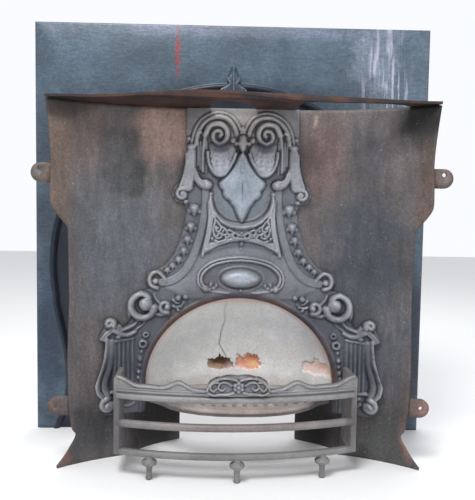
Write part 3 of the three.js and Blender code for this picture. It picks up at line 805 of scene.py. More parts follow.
def noise(tree, place, scale, detail=4.0, roughness=0.55, distortion=0.0):
    node = tree.nodes.new("ShaderNodeTexNoise")
    feed(node.inputs["Vector"], place)
    feed(node.inputs["Scale"], scale)
    feed(node.inputs["Detail"], detail)
    feed(node.inputs["Roughness"], roughness)
    feed(node.inputs["Distortion"], distortion)
    return node.outputs[0]


def fade(tree, value, low, high, start=0.0, end=1.0):
    node = tree.nodes.new("ShaderNodeMapRange")
    node.interpolation_type = "SMOOTHSTEP"
    feed(node.inputs["Value"], value)
    feed(node.inputs["From Min"], low)
    feed(node.inputs["From Max"], high)
    feed(node.inputs["To Min"], start)
    feed(node.inputs["To Max"], end)
    return node.outputs[0]


def blend(tree, share, below, above, mode="MIX"):
    node = tree.nodes.new("ShaderNodeMix")
    node.data_type = "RGBA"
    node.blend_type = mode
    feed(node.inputs[0], share)
    feed(node.inputs[6], below)
    feed(node.inputs[7], above)
    return node.outputs[2]


def vector_calc(tree, operation, first, second=None):
    node = tree.nodes.new("ShaderNodeVectorMath")
    node.operation = operation
    feed(node.inputs[0], first)
    feed(node.inputs[1], second)
    return node.outputs["Value" if operation == "LENGTH" else "Vector"]


def stretched_noise(tree, place, stretch, detail, roughness, distortion=0.0):
    """Noise that is drawn out along the axes with the small numbers."""
    return noise(tree, vector_calc(tree, "MULTIPLY", place, stretch), 1.0, detail, roughness, distortion)


def mark(tree, name):
    """Reads a value that was left on the mesh."""
    node = tree.nodes.new("ShaderNodeAttribute")
    node.attribute_name = name
    return node.outputs["Fac"]


def new_group(title, takes, gives):
    group = bpy.data.node_groups.new(title, "ShaderNodeTree")
    for name, kind, value in takes:
        socket = group.interface.new_socket(name, in_out="INPUT", socket_type="NodeSocket" + kind)
        if value is not None:
            socket.default_value = value
    for name, kind in gives:
        group.interface.new_socket(name, in_out="OUTPUT", socket_type="NodeSocket" + kind)
    return group, group.nodes.new("NodeGroupInput").outputs, group.nodes.new("NodeGroupOutput").inputs


def use(tree, group, **values):
    node = tree.nodes.new("ShaderNodeGroup")
    node.node_tree = group
    for name, value in values.items():
        feed(node.inputs[name.replace("_", " ")], value)
    return node.outputs


print("shader tools are ready")

# %% The soft patch
soft_patch, taken, given = new_group(
    "Soft patch",
    [
        ("Place", "Vector", None),
        ("Centre", "Vector", (0, 0, 0)),
        ("Size", "Vector", (1, 1, 1)),
        ("Ragged", "Float", 0.5),
    ],
    [("Mask", "Float")],
)
away = vector_calc(soft_patch, "SUBTRACT", taken["Place"], taken["Centre"])
reach = vector_calc(soft_patch, "LENGTH", vector_calc(soft_patch, "DIVIDE", away, taken["Size"]))
cloud = noise(soft_patch, taken["Place"], 16.0, 6.0, 0.62)
ragged = calc(soft_patch, "MULTIPLY", calc(soft_patch, "SUBTRACT", cloud, 0.5), taken["Ragged"])
worn_reach = calc(soft_patch, "ADD", reach, calc(soft_patch, "MULTIPLY", ragged, 3.0))
feed(given["Mask"], fade(soft_patch, worn_reach, 0.35, 1.1, 1.0, 0.0))
print("soft patch has", len(soft_patch.nodes), "nodes")

# %% The old iron surface
old_iron, taken, given = new_group(
    "Old iron",
    [
        ("Place", "Vector", None),
        ("Colour", "Color", (0.1, 0.1, 0.1, 1)),
        ("Rust colour", "Color", (0.2, 0.08, 0.03, 1)),
        ("Rust", "Float", 0.3),
        ("Edge colour", "Color", (0.4, 0.4, 0.4, 1)),
        ("Edge wear", "Float", 0.5),
        ("Soot", "Float", 0.6),
        ("Gloss", "Float", 0.6),
        ("Speck", "Float", 0.5),
    ],
    [("Color", "Color"), ("Roughness", "Float"), ("Height", "Float")],
)
place = taken["Place"]
cavity = mark(old_iron, "cavity")
mottle = fade(old_iron, noise(old_iron, place, 11.0, 6.0, 0.62), 0.3, 0.7, 0.8, 1.2)
fine_speck = fade(old_iron, noise(old_iron, place, 190.0, 5.0, 0.72), 0.3, 0.7, -0.3, 0.3)
speck = calc(old_iron, "MULTIPLY_ADD", fine_speck, taken["Speck"], 1.0)
tone = calc(old_iron, "MULTIPLY", mottle, speck)
toned = blend(old_iron, 1.0, taken["Colour"], tone, "MULTIPLY")
rust_cloud = noise(old_iron, place, 24.0, 9.0, 0.68)
rust_low = calc(old_iron, "SUBTRACT", 0.72, calc(old_iron, "MULTIPLY", taken["Rust"], 0.45))
rust_high = calc(old_iron, "ADD", rust_low, 0.16)
rust_mask = fade(old_iron, rust_cloud, rust_low, rust_high)
rust_tone = fade(old_iron, noise(old_iron, place, 90.0, 5.0, 0.7), 0.3, 0.72, 0.55, 1.35)
rusted = blend(old_iron, 1.0, taken["Rust colour"], rust_tone, "MULTIPLY")
with_rust = blend(old_iron, calc(old_iron, "MULTIPLY", rust_mask, 0.85), toned, rusted)
edge_break = fade(old_iron, noise(old_iron, place, 60.0, 5.0, 0.6), 0.32, 0.62)
edge_mask = calc(old_iron, "MULTIPLY", fade(old_iron, cavity, 0.2, 2.6), edge_break)
edge_share = calc(old_iron, "MULTIPLY", edge_mask, taken["Edge wear"])
with_edge = blend(old_iron, edge_share, with_rust, taken["Edge colour"])
# Hollows are darkened as soot and as painted shade.
soot_and_shade_mask = calc(old_iron, "MULTIPLY", fade(old_iron, cavity, -0.15, -2.4), taken["Soot"])
sooted_and_shaded = blend(old_iron, soot_and_shade_mask, with_edge, colour(40, 39, 46))
feed(given["Color"], sooted_and_shaded)
rough = calc(old_iron, "ADD", taken["Gloss"], calc(old_iron, "MULTIPLY", rust_mask, 0.22))
feed(given["Roughness"], calc(old_iron, "SUBTRACT", rough, calc(old_iron, "MULTIPLY", edge_mask, 0.12)))
grain = noise(old_iron, place, 520.0, 3.0, 0.6)
pits = fade(old_iron, noise(old_iron, place, 150.0, 4.0, 0.65), 0.3, 0.6)
feed(given["Height"], calc(old_iron, "MULTIPLY_ADD", grain, 0.4, calc(old_iron, "MULTIPLY", pits, 0.6)))
print("old iron has", len(old_iron.nodes), "nodes")


# %% Start and finish a material
def start_material(name):
    material = bpy.data.materials.new(name)
    material.use_nodes = True
    tree = material.node_tree
    tree.nodes.clear()
    where = tree.nodes.new("ShaderNodeTexCoord")
    return material, tree, where.outputs["Object"]


def finish_material(tree, surface_colour, roughness, height, metallic, bump, depth=0.0008):
    shader = tree.nodes.new("ShaderNodeBsdfPrincipled")
    result = tree.nodes.new("ShaderNodeOutputMaterial")
    relief = tree.nodes.new("ShaderNodeBump")
    relief.inputs["Strength"].default_value = bump
    relief.inputs["Distance"].default_value = depth
    feed(relief.inputs["Height"], height)
    feed(shader.inputs["Base Color"], surface_colour)
    feed(shader.inputs["Roughness"], roughness)
    shader.inputs["Metallic"].default_value = metallic
    feed(shader.inputs["Normal"], relief.outputs[0])
    feed(result.inputs["Surface"], shader.outputs[0])


def patch(tree, place, centre, size, ragged):
    return use(tree, soft_patch, Place=place, Centre=centre, Size=size, Ragged=ragged)["Mask"]


ANY_DEPTH = 10


def tinted(tree, place, below, patches):
    """Lays cloudy patches over a colour, each from the front to the back of the piece.

    A row is its centre and half size in millimetres, across and up, its tone, strength and raggedness.
    """
    for centre, size, tone, strength, ragged in patches:
        middle = (centre[0] * MM, 0, centre[1] * MM)
        mask = patch(tree, place, middle, (size[0] * MM, ANY_DEPTH, size[1] * MM), ragged)
        below = blend(tree, calc(tree, "MULTIPLY", mask, strength), below, colour(*tone))
    return below


def finish_iron(tree, place, tone, rust_tone, edge_tone, metallic, bump, more_height=None, **amounts):
    surface = use(
        tree, old_iron, Place=place, Colour=tone, Rust_colour=colour(*rust_tone),
        Edge_colour=colour(*edge_tone), **amounts,
    )
    height = surface["Height"]
    if more_height is not None:
        height = calc(tree, "ADD", height, more_height)
    finish_material(tree, surface["Color"], surface["Roughness"], height, metallic, bump)


# %% [markdown]
# The cheeks and the strip are bare cast iron that has rusted in a damp yard: brown at the top, blue grey
# lower down, with orange along the outer edges.

# %% Rusty iron
rusty_iron, tree, place = start_material("rusty iron")
base = colour(92, 87, 87)
base = tinted(tree, place, base, [
    ((-240, 470), (130, 200), (92, 95, 102), 0.9, 0.5),
    ((293, 430), (120, 230), (65, 69, 76), 0.95, 0.5),
    ((-150, 705), (85, 95), (160, 134, 124), 0.95, 0.4),
    ((-310, 690), (70, 90), (98, 84, 80), 0.85, 0.5),
    ((-240, 640), (62, 90), (64, 65, 68), 0.85, 0.8),
    ((-290, 560), (60, 60), (74, 76, 80), 0.6, 0.8),
    ((-205, 606), (26, 36), (50, 52, 52), 0.7, 1.3),
    ((350, 250), (80, 160), (82, 84, 91), 0.75, 0.5),
    ((190, 665), (80, 130), (103, 86, 83), 0.85, 0.5),
    ((285, 660), (52, 100), (74, 72, 76), 0.8, 0.5),
    ((-370, 560), (44, 260), (102, 86, 76), 0.85, 0.6),
    ((-388, 420), (16, 60), (126, 88, 64), 0.6, 0.9),
    ((405, 560), (34, 280), (92, 76, 70), 0.85, 0.6),
    ((392, 150), (40, 130), (94, 78, 72), 0.6, 0.8),
    # The two dark top corners are painted shade under the strip.
    ((385, 740), (58, 76), (24, 22, 23), 0.95, 0.25),
    ((-345, 750), (66, 30), (52, 44, 42), 0.8, 0.4),
    ((-330, 60), (110, 80), (60, 61, 66), 0.8, 0.5),
    ((350, 50), (100, 80), (72, 74, 73), 0.8, 0.7),
    ((-350, 50), (20, 90), (124, 88, 72), 0.65, 0.9),
    ((378, 60), (16, 50), (132, 96, 84), 0.7, 0.7),
    ((178, 735), (12, 24), (205, 180, 172), 0.45, 1.3),
    ((-406, 616), (30, 24), (98, 92, 90), 0.8, 0.2),
    ((434, 616), (26, 24), (122, 108, 102), 0.8, 0.2),
    ((-380, 127), (30, 26), (122, 96, 90), 0.85, 0.3),
    ((412, 127), (30, 26), (132, 100, 94), 0.85, 0.3),
    # The near-black low patches over the ash walls are painted shade in the ash space.
    ((-165, 60), (84, 92), (22, 19, 19), 0.95, 0.15),
    ((200, 60), (84, 92), (22, 19, 19), 0.95, 0.15),
])
wiped = stretched_noise(tree, place, (60.0, 60.0, 13.0), 6.0, 0.7, 0.4)
base = blend(tree, 1.0, base, fade(tree, wiped, 0.3, 0.7, 0.82, 1.18), "MULTIPLY")
flecks = fade(tree, noise(tree, place, 300.0, 2.0, 0.5), 0.68, 0.76, 0.0, 0.55)
base = blend(tree, flecks, base, colour(176, 168, 162))
# The strip is dark red-brown: rust, and painted shade for its underside.
strip_cloud = fade(tree, noise(tree, place, 20.0, 6.0), 0.4, 0.62)
strip_rust_and_shade_tone = blend(tree, strip_cloud, colour(44, 33, 33), colour(74, 46, 38))
base = blend(tree, mark(tree, "rim"), base, strip_rust_and_shade_tone)
finish_iron(
    tree, place, base, rust_tone=(112, 78, 60), edge_tone=(140, 112, 92), metallic=0.1, bump=0.45,
    Rust=0.2, Edge_wear=0.6, Soot=0.5, Gloss=0.6, Speck=0.75,
)
print("rusty iron has", len(tree.nodes), "nodes")

# %% [markdown]
# The hood panel was blackened and polished, and has worn to a dull grey. Its quiet grounds are dark, partly
# as painted shade, and its raised ornament is pale. It could be painted by hand, but the height of each
# place is known, so the attribute tall picks the tone and the finish follows the carving exactly. Rust
# creeps out from the arch.

# %% Blackened iron
blackened_iron, tree, place = start_material("blackened iron")
low, proud = colour(98, 100, 107), colour(150, 151, 156)
# The tone follows height: the low grounds are darkened, partly as painted shade.
base = blend(tree, fade(tree, mark(tree, "tall"), 6.0, 20.0), low, proud)
base = tinted(tree, place, base, [
    # The pale crest under the strip is painted light, brightening where the strip's shadow falls.
    ((20, 722), (160, 62), (162, 157, 154), 0.85, 0.3),
    ((20, 757), (130, 14), (122, 118, 116), 0.8, 0.2),
    ((20, 590), (62, 85), (148, 160, 174), 0.8, 0.1),
    # The shells' lower rims are painted light and their tops under the volutes painted shade.
    ((-30, 636), (36, 34), (152, 156, 166), 0.8, 0.1),
    ((70, 636), (36, 34), (148, 152, 161), 0.8, 0.1),
    ((-28, 682), (28, 20), (78, 80, 90), 0.9, 0.1),
    ((68, 682), (28, 20), (76, 78, 88), 0.9, 0.1),
    ((20, 470), (100, 90), (114, 120, 130), 0.6, 0.3),
    ((20, 250), (350, 150), (66, 70, 80), 0.75, 0.3),
    ((-97, 500), (45, 80), (100, 104, 113), 0.6, 0.2),
    ((137, 500), (45, 80), (100, 104, 113), 0.6, 0.2),
    ((20, 392), (46, 22), (158, 165, 176), 0.8, 0.1),
    ((-240, 200), (58, 84), (64, 68, 77), 0.85, 0.3),
    ((280, 200), (58, 84), (68, 72, 81), 0.85, 0.3),
    ((-170, 405), (30, 24), (118, 100, 84), 0.3, 0.8),
    ((-52, 372), (18, 8), (150, 124, 112), 0.4, 0.9),
    ((100, 372), (18, 8), (150, 118, 114), 0.4, 0.9),
])
base = blend(tree, fade(tree, mark(tree, "tall"), 1.0, 6.0), colour(88, 82, 80), base)
rim_break = fade(tree, noise(tree, place, 30.0, 5.0, 0.6), 0.2, 0.5, 0.5, 1.0)
rim_mask = calc(tree, "MULTIPLY", fade(tree, mark(tree, "rim"), 0.25, 0.85), rim_break)
rim_cloud = fade(tree, noise(tree, place, 9.0, 3.0), 0.42, 0.58)
rim_tone = blend(tree, rim_cloud, colour(88, 68, 62), colour(62, 59, 76))
base = blend(tree, rim_mask, base, rim_tone)
finish_iron(
    tree, place, base, rust_tone=(104, 80, 68), edge_tone=(172, 173, 177), metallic=0.15, bump=0.22,
    Rust=0.14, Edge_wear=0.42, Soot=0.8, Gloss=0.46, Speck=0.5,
)
print("blackened iron has", len(tree.nodes), "nodes")

# %% [markdown]
# The back of the fire is burnt clay: pale grey, stained pink and brown at its rim, cracked, and broken
# away in three places down to raw clay. The breaks are real hollows in the mesh, so their depth colours
# them, and the crack is found by its cavity. So the marks can't slide off their shapes.

# %% Burnt fireclay
fireclay, tree, place = start_material("fireclay")
base = colour(226, 226, 224)
base = tinted(tree, place, base, [
    ((20, 350), (130, 22), (226, 196, 180), 0.7, 0.5),
    ((20, 140), (240, 20), (190, 182, 174), 0.5, 0.5),
    ((130, 290), (90, 60), (236, 238, 242), 0.7, 0.9),
])
broken = colour(244, 222, 214)
broken = tinted(tree, place, broken, [
    ((-22, 186), (44, 30), (92, 68, 52), 1.0, 0.4),
    ((-30, 174), (30, 9), (186, 156, 124), 0.9, 0.7),
    ((46, 186), (36, 26), (228, 160, 132), 1.0, 0.5),
    ((52, 178), (18, 8), (240, 204, 150), 0.7, 0.7),
    ((56, 196), (16, 6), (200, 120, 96), 0.7, 0.9),
    ((214, 190), (20, 14), (236, 184, 162), 0.8, 0.7),
])
base = blend(tree, fade(tree, mark(tree, "tall"), 0.2, 1.2, 0.0, 0.6), base, colour(240, 220, 210))
base = blend(tree, fade(tree, mark(tree, "tall"), 1.6, 3.2), base, broken)
rim_mask = fade(tree, mark(tree, "rim"), 0.955, 0.985)
edge_mask = calc(tree, "MULTIPLY", fade(tree, mark(tree, "rim"), 0.84, 0.95), 0.75)
base = blend(tree, edge_mask, base, colour(216, 194, 184))
base = blend(tree, rim_mask, base, colour(112, 88, 78))
cloud = fade(tree, noise(tree, place, 26.0, 8.0, 0.68), 0.3, 0.7, 0.92, 1.08)
grit = noise(tree, place, 240.0, 6.0, 0.75)
speck = fade(tree, grit, 0.28, 0.7, 0.84, 1.1)
toned = blend(tree, 1.0, base, calc(tree, "MULTIPLY", cloud, speck), "MULTIPLY")
cracked = blend(tree, fade(tree, mark(tree, "cavity"), -0.2, -0.8), toned, colour(48, 38, 34))
finish_material(tree, cracked, 0.95, grit, 0.0, 0.8)
print("fireclay has", len(tree.nodes), "nodes")

# %% [markdown]
# The grates have lost their polish in the heat. They are a plain mid grey with brown in the corners, so the
# shared old iron surface does nearly all of the work, under a paler rail and a pale front edge on the
# slotted grate that is painted light where the rail's shadow falls.

# %% Bare iron
bare_iron, tree, place = start_material("bare iron")
base = colour(126, 124, 124)
base = tinted(tree, place, base, [
    ((12, 186), (260, 26), (140, 139, 141), 0.9, 0.1),
    ((20, 111), (230, 10), (126, 116, 113), 0.8, 0.2),
    # The pale front edge of the slotted grate is painted light under the rail's shadow.
    ((20, 127), (200, 7), (204, 190, 184), 0.9, 0.2),
    ((20, 119.5), (200, 2.6), (112, 86, 76), 0.8, 0.3),
    ((12, 197), (62, 22), (118, 120, 128), 0.8, 0.2),
    ((-232, 110), (20, 80), (98, 95, 97), 0.9, 0.2),
    ((252, 110), (20, 80), (100, 97, 98), 0.9, 0.2),
])
finish_iron(
    tree, place, base, rust_tone=(128, 104, 90), edge_tone=(184, 182, 180), metallic=0.1, bump=0.3,
    Rust=0.2, Edge_wear=0.5, Soot=0.9, Gloss=0.52, Speck=0.4,
)
print("bare iron has", len(tree.nodes), "nodes")

# %% [markdown]
# The plate is blue black, brushed from side to side and finely crackled, with pale runs and a red streak on
# its face. Noise that is stretched along one axis gives both the brushing and runs that follow gravity.

# %% Slate blue iron
PLATE_THICK = 12
slate_blue_iron, tree, place = start_material("slate blue iron")
base = colour(79, 95, 109)
base = tinted(tree, place, base, [
    ((0, 970), (470, 22), (118, 124, 144), 0.6, 0.6),
    ((340, 900), (60, 90), (122, 134, 150), 0.8, 0.9),
    ((360, 800), (34, 60), (128, 138, 152), 0.6, 1.1),
    ((0, 800), (420, 60), (44, 56, 72), 0.5, 0.6),
    ((-440, 600), (40, 300), (70, 80, 92), 0.7, 0.4),
    ((-440, 200), (50, 240), (44, 60, 80), 0.8, 0.5),
    # The right lower side is painted shade beside the cheek.
    ((440, 200), (50, 240), (40, 46, 62), 0.9, 0.3),
])
# The sunk band round the opening is painted near-black navy, as shade in the recess.
band_shade_mask = fade(tree, mark(tree, "rim"), 0.1, 1.0, 0.0, 0.93)
base = blend(tree, band_shade_mask, base, colour(22, 29, 44))
brushed = stretched_noise(tree, place, (55.0, 55.0, 330.0), 6.0, 0.7)
crackle = noise(tree, place, 120.0, 6.0, 0.75, 0.6)
streaked = blend(tree, 1.0, base, fade(tree, brushed, 0.3, 0.7, 0.8, 1.2), "MULTIPLY")
streaked = blend(tree, 1.0, streaked, fade(tree, crackle, 0.32, 0.68, 0.84, 1.16), "MULTIPLY")
runs = stretched_noise(tree, place, (95.0, 95.0, 7.0), 4.0, 0.6)
plate_face = plate_back - PLATE_THICK * MM
FACE_ONLY = 9 * MM
run_area = patch(tree, place, (0.36, plate_face, 0.85), (0.075, FACE_ONLY, 0.15), 0.4)
run_mask = calc(tree, "MULTIPLY", fade(tree, runs, 0.5, 0.62), run_area)
streaked = blend(tree, calc(tree, "MULTIPLY", run_mask, 0.8), streaked, colour(188, 186, 206))
red_break = fade(tree, stretched_noise(tree, place, (220.0, 40.0, 50.0), 5.0, 0.7), 0.4, 0.56)
red_area = patch(tree, place, (-0.134, plate_face, 0.915), (0.008, FACE_ONLY, 0.078), 0.08)
streaked = blend(tree, calc(tree, "MULTIPLY", red_area, red_break), streaked, colour(150, 62, 66))
finish_iron(
    tree, place, streaked, rust_tone=(60, 58, 62), edge_tone=(150, 158, 172), metallic=0.1, bump=0.35,
    more_height=calc(tree, "MULTIPLY", brushed, 0.8),
    Rust=0.12, Edge_wear=0.75, Soot=0.85, Gloss=0.4, Speck=0.5,
)
print("slate blue iron has", len(tree.nodes), "nodes")

# %% [markdown]
# Now the pieces. The hood panel is its field of heights cut to the outline. A collar, swept along the arch,
# stands behind it and hides the joint between the panel and the clay.

# %% The hood panel
RUST_REACH = 13 * MM
PANEL_FOOT = 96 * MM
near_arch = np.exp(-((np.clip(off_arch, 0, 1) / RUST_REACH) ** 2))
bm = cast_sheet(
    panel, mirrored_outline(PANEL_EDGE), GAP, holes=[fire_opening], facet=24 * MM, rim_field=near_arch
)
collar_rings = []
for (x, z), (far_x, far_z) in zip(arch_line(0.1 * MM, PANEL_FOOT, 70), arch_line(COLLAR, PANEL_FOOT, 70)):
    corners = ((x, z, 1), (far_x, far_z, 1), (far_x, far_z, -7), (x, z, -7))
    collar_rings.append(
        [(cx + axis_x, front_line + float(cove_y(cx)) - depth * MM, cz) for cx, cz, depth in corners]
    )
left_foot, right_foot = collar_rings[-2:]
ring_wall(bm, [right_foot] + collar_rings[:-2] + [left_foot])
bmesh.ops.recalc_face_normals(bm, faces=bm.faces)
place_piece("hood", bm, ["hood_panel"], blackened_iron)

# %% [markdown]
# Each cheek is one thin sheet, bent to the cove, with a shaped outer edge and two lugs for the wall screws.

# %% The cheeks and their lugs
CHEEK_EDGE = [
    (397, BODY_TOP), (391, 696), (388, 637), (390, 571), (386, 543), (362, 505), (360, 490),
    (358, 352), (361, 247), (360, 150), (355, 82), (347, 64), (357, 42), (370, 20), (386, 0),
]


LUG_RADIUS = 20
LUG_THICK = 6
HOLE_RADIUS = 4.5


def add_lug(bm, side, root_x, tip_x, height, hole_x, hole_z):
    """An ear with a round end and a screw hole: its outer and inner lines are joined front and back."""
    front = float(cove_y(root_x * MM)) / MM + 1
    back = front + LUG_THICK
    arc = [polar(tip_x - LUG_RADIUS, height, LUG_RADIUS, angle) for angle in np.linspace(-90, 90, 17)]
    edge = [(root_x, height - LUG_RADIUS)] + arc + [(root_x, height + LUG_RADIUS), (root_x, hole_z)]
    angles = [math.degrees(math.atan2(z - hole_z, x - hole_x)) for x, z in edge]
    hole = [polar(hole_x, hole_z, HOLE_RADIUS, angle) for angle in angles]
    rings = []
    for line, depth in ((edge, front), (edge, back), (hole, back), (hole, front)):
        rings.append([(side * x * MM + axis_x, front_line + depth * MM, z * MM) for x, z in line])
    ring_wall(bm, rings + [rings[0]], caps=False)


for side, name in ((-1, "left"), (1, "right")):
    sheet = Relief(*sorted((side * 90 * MM, side * 400 * MM)), 0, 765 * MM, 5 * MM)
    sheet.height += 0.5 * MM * ripple(sheet.x, sheet.z, 0.03, 2.0 + side)
    outer = smooth_line(CHEEK_EDGE, 3)
    inner = [(x, z) for x, z in arch_line(14 * MM, 0, 48)[:-2] / MM if x > 96]
    edge = np.vstack([outer, [(222, 0)], inner, [(96, 344), (96, BODY_TOP)]]) * MM * (side, 1)
    bm = cast_sheet(sheet, edge, -SHEET, facet=31 * MM)
    add_lug(bm, side, 383, 430, 614, 411, 622)
    add_lug(bm, side, 356, 404, 127, 386, 127)
    bmesh.ops.remove_doubles(bm, verts=bm.verts, dist=0.01 * MM)
    bmesh.ops.recalc_face_normals(bm, faces=bm.faces)
    place_piece(f"{name}_cheek", bm, [f"cheek_{name}"], rusty_iron)

# %% [markdown]
# The fireback is a half dome of burnt clay standing on the bottom grate. Its hollow face is drawn as rows
# that run from the rim to the deepest place, with a crack and a broken hollow pushed into it.


# %% The breaks in the clay
HOLLOWS = [((-42, 182), (30, 15), 11), ((22, 184), (31, 18), 7), ((180, 182), (32, 17), 5)]
CRACKS = [
    (
        [(-31, 338), (-36, 312), (-33, 290), (-42, 262), (-46, 228), (-38, 212), (-30, 198), (-24, 180)],
        5 * MM, 1.5 * MM,
    ),
    ([(-46, 228), (-58, 216), (-62, 206)], 3 * MM, 1.3 * MM),
]


def clay_damage(x, z):
    """How far the clay is broken away at each place, in all and by hollows alone."""
    depth = np.zeros(x.shape)
    for line, deep, wide in CRACKS:
        off, _ = along_line(x, z, np.array(line) * MM)
        depth += deep * np.exp(-((off / wide) ** 2))
    wobble = 0.3 * ripple(x, z, 0.006, 5.0) + 0.2 * ripple(x, z, 0.0022, 2.0)
    hollow = np.zeros(x.shape)
    for (cx, cz), (half_x, half_z), deep in HOLLOWS:
        reach = np.hypot((x - cx * MM) / (half_x * MM), (z - cz * MM) / (half_z * MM)) + wobble
        hollow = np.maximum(hollow, deep * MM * np.clip((1.05 - reach) / 0.16, 0, 1))
    return np.maximum(depth, hollow), hollow


print("the clay has", len(CRACKS), "cracks and", len(HOLLOWS), "hollows")

# %% The lines of the dome
DOME_FRONT = 100 * MM
DOME_DEPTH = 95 * MM
WALL = 22 * MM
FOOT_Z = 131.3 * MM
LEG = 0.07


def dome_direction(along):
    """Where a line runs, across and up, and how far its foot drops; along runs 0 to 1 round the arch."""
    if along < LEG:
        return -1, 0.0, (ARCH_SPRING - FOOT_Z) * (LEG - along) / LEG
    if along > 1 - LEG:
        return 1, 0.0, (ARCH_SPRING - FOOT_Z) * (along - 1 + LEG) / LEG
    angle = math.pi * (1 - (along - LEG) / (1 - 2 * LEG))
    return math.cos(angle), math.sin(angle), 0.0


def dome_y(share, depth, power):
    return DOME_FRONT + depth * (1 - share**power) ** (1 / power)


def dome_line(direction, half_x, half_z, depth, power, count):
    """Places from the deepest place out to where the dome meets the back of the panel."""
    across, up, drop = direction
    share = np.sin(np.linspace(0, math.pi / 2, 400))
    behind = dome_y(share, depth, power) > cove_y(share * half_x * across) + SHEET + GAP
    last = np.nonzero(behind)[0][-1]
    share = np.sin(np.linspace(0, math.asin(share[last]), count))
    z = ARCH_SPRING - drop + share * half_z * up
    return np.column_stack([share * half_x * across, dome_y(share, depth, power), z])


print("the dome is", round((DOME_FRONT + DOME_DEPTH) / MM), "mm deep from the front line")

# %% The clay back
ROWS, STEPS, OUTER_STEPS = 260, 110, 14
INNER = (ARCH_X + 2 * MM, ARCH_RISE + 2 * MM, DOME_DEPTH, 2.3, STEPS)
OUTER = (ARCH_X + WALL, ARCH_RISE + WALL, DOME_DEPTH + WALL, 2.0, OUTER_STEPS)
rows, hollows = [], []
for k in range(ROWS + 1):
    direction = dome_direction(k / ROWS)
    inner_line, outer_line = dome_line(direction, *INNER), dome_line(direction, *OUTER)
    damage, hollow = clay_damage(inner_line[:, 0], inner_line[:, 2])
    inner_line[:, 1] += damage + 0.5 * MM * ripple(inner_line[:, 0], inner_line[:, 2], 0.02, 1.0)
    hollows.append(np.append(hollow, np.zeros(OUTER_STEPS)))
    rows.append(np.vstack([inner_line, outer_line[::-1]]) + (axis_x, front_line, 0))
bm = bmesh.new()
bm.verts.layers.float.new("cavity")
rim = bm.verts.layers.float.new("rim")
tall = bm.verts.layers.float.new("tall")
made = ring_wall(bm, rows, closed=False, caps=False)
for end in (made[0], made[-1]):
    for k in range(OUTER_STEPS - 1):
        low = round(k * (STEPS - 1) / (OUTER_STEPS - 1))
        high = round((k + 1) * (STEPS - 1) / (OUTER_STEPS - 1))
        bm.faces.new(end[low : high + 1] + [end[-2 - k], end[-1 - k]])
for row, hollow in zip(made, hollows):
    for k, vert in enumerate(row):
        vert[rim] = min(k / (STEPS - 1), 1.0)
        vert[tall] = float(hollow[k]) / MM
bmesh.ops.remove_doubles(bm, verts=bm.verts, dist=0.05 * MM)
bmesh.ops.recalc_face_normals(bm, faces=bm.faces)
measure_cavity(bm)
place_piece("clay_back", bm, ["fireback"], fireclay)

# %% [markdown]
# The plain castings are softened copies of their solids: the broken strip, the slotted grate and the two
# short walls beside the ash space. The solids already have every form that shows, so only their edges need
# the small rounding that sand casting leaves. The mark on the strip's places gives it its dark red rust,
# with painted shade for its underside.


# %% The strip, the bottom grate and the ash walls
def softened_copy(node, width, marked=0.0):
    bm = bmesh.new()
    bm.from_mesh(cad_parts[node].data)
    bm.verts.layers.float.new("cavity")
    rim = bm.verts.layers.float.new("rim")
    bmesh.ops.remove_doubles(bm, verts=bm.verts, dist=0.01 * MM)
    bmesh.ops.dissolve_limit(bm, angle_limit=math.radians(1), verts=bm.verts, edges=bm.edges)
    sharp = [e for e in bm.edges if e.is_manifold and e.calc_face_angle() > math.radians(30)]
    bevel_edges(bm, sharp, width)
    for vert in bm.verts:
        vert[rim] = marked
    bmesh.ops.triangulate(bm, faces=[f for f in bm.faces if len(f.verts) > 4])
    bmesh.ops.recalc_face_normals(bm, faces=bm.faces)
    measure_cavity(bm, rounds=0)
    return bm


bm = softened_copy("top_strip", 0.8 * MM, marked=1.0)
place_piece("broken_strip", bm, ["top_strip"], rusty_iron, smooth=False)
bm = softened_copy("bottom_grate", 1.2 * MM)
place_piece("slotted_grate", bm, ["bottom_grate"], bare_iron, smooth=False)
for name in ("left", "right"):
    bm = softened_copy(f"ash_wall_{name}", 1.2 * MM)
    place_piece(f"{name}_ash_wall", bm, [f"ash_wall_{name}"], rusty_iron, smooth=False)

# %% [markdown]
# The front grate is bowed forward. Its rail is a cast strip with grooves, a wavy top and a medallion. A
# round bar and a flat bar run below it between two plain posts, and it stands on three turned finials. As
# in the photograph it is turned by two degrees, and it stands 8 mm to the left.

# %% Grate sizes and bends
POST_X = 243
POST_FRONT = -12
BOW = 40
RAIL_FOOT = 163
MEDALLION_HALF = 66
WAVE_X = 118
HORN_X = 196


def bow_y(x):
    share = np.minimum(np.abs(x) / (POST_X * MM), 1)
    return (POST_FRONT - BOW * (1 - share**2)) * MM


def rail_top(x):
    off = np.abs(x)
    wave = 15 * np.exp(-(((off - WAVE_X) / 22) ** 2))
    horn = np.clip((off - HORN_X) / (POST_X - HORN_X), 0, 1)
    rise = np.clip((off - WAVE_X) / 62, 0, 1)
    return 190 + wave + 16 * horn * horn * (3 - 2 * horn) + 4 * rise * rise * (3 - 2 * rise)


def medallion_top(x):
    lobes = 2.5 * np.abs(np.sin(np.abs(x) / 13.5 + 0.6))
    return np.interp(np.abs(x), [0, 22, 42, 58, 66], [217, 218, 215, 204, 180]) + lobes - 1


rail = Relief(-250 * MM, 250 * MM, 160 * MM, 224 * MM, 1.6 * MM)
top_x = np.linspace(POST_X, -POST_X, 150)
medallion = np.where(np.abs(top_x) < MEDALLION_HALF + 2, medallion_top(top_x), 0)
rail_edge = np.column_stack([top_x, np.maximum(rail_top(top_x), medallion)])
rail_edge = np.vstack([[(-POST_X, RAIL_FOOT), (POST_X, RAIL_FOOT)], rail_edge]) * MM
for z, width, height in ((168, 6, 5), (180, 1.7, 2.2), (185, 1.5, 1.8)):
    stroke(rail, [(-POST_X, z), (POST_X, z)], width, height, steps=1, both=False)
wave = [(x, float(rail_top(x)) - 3) for x in np.linspace(MEDALLION_HALF, POST_X - 2, 34)]
stroke(rail, wave, 3.2, 4, steps=2)
print("the rail's edge has", len(rail_edge), "points")

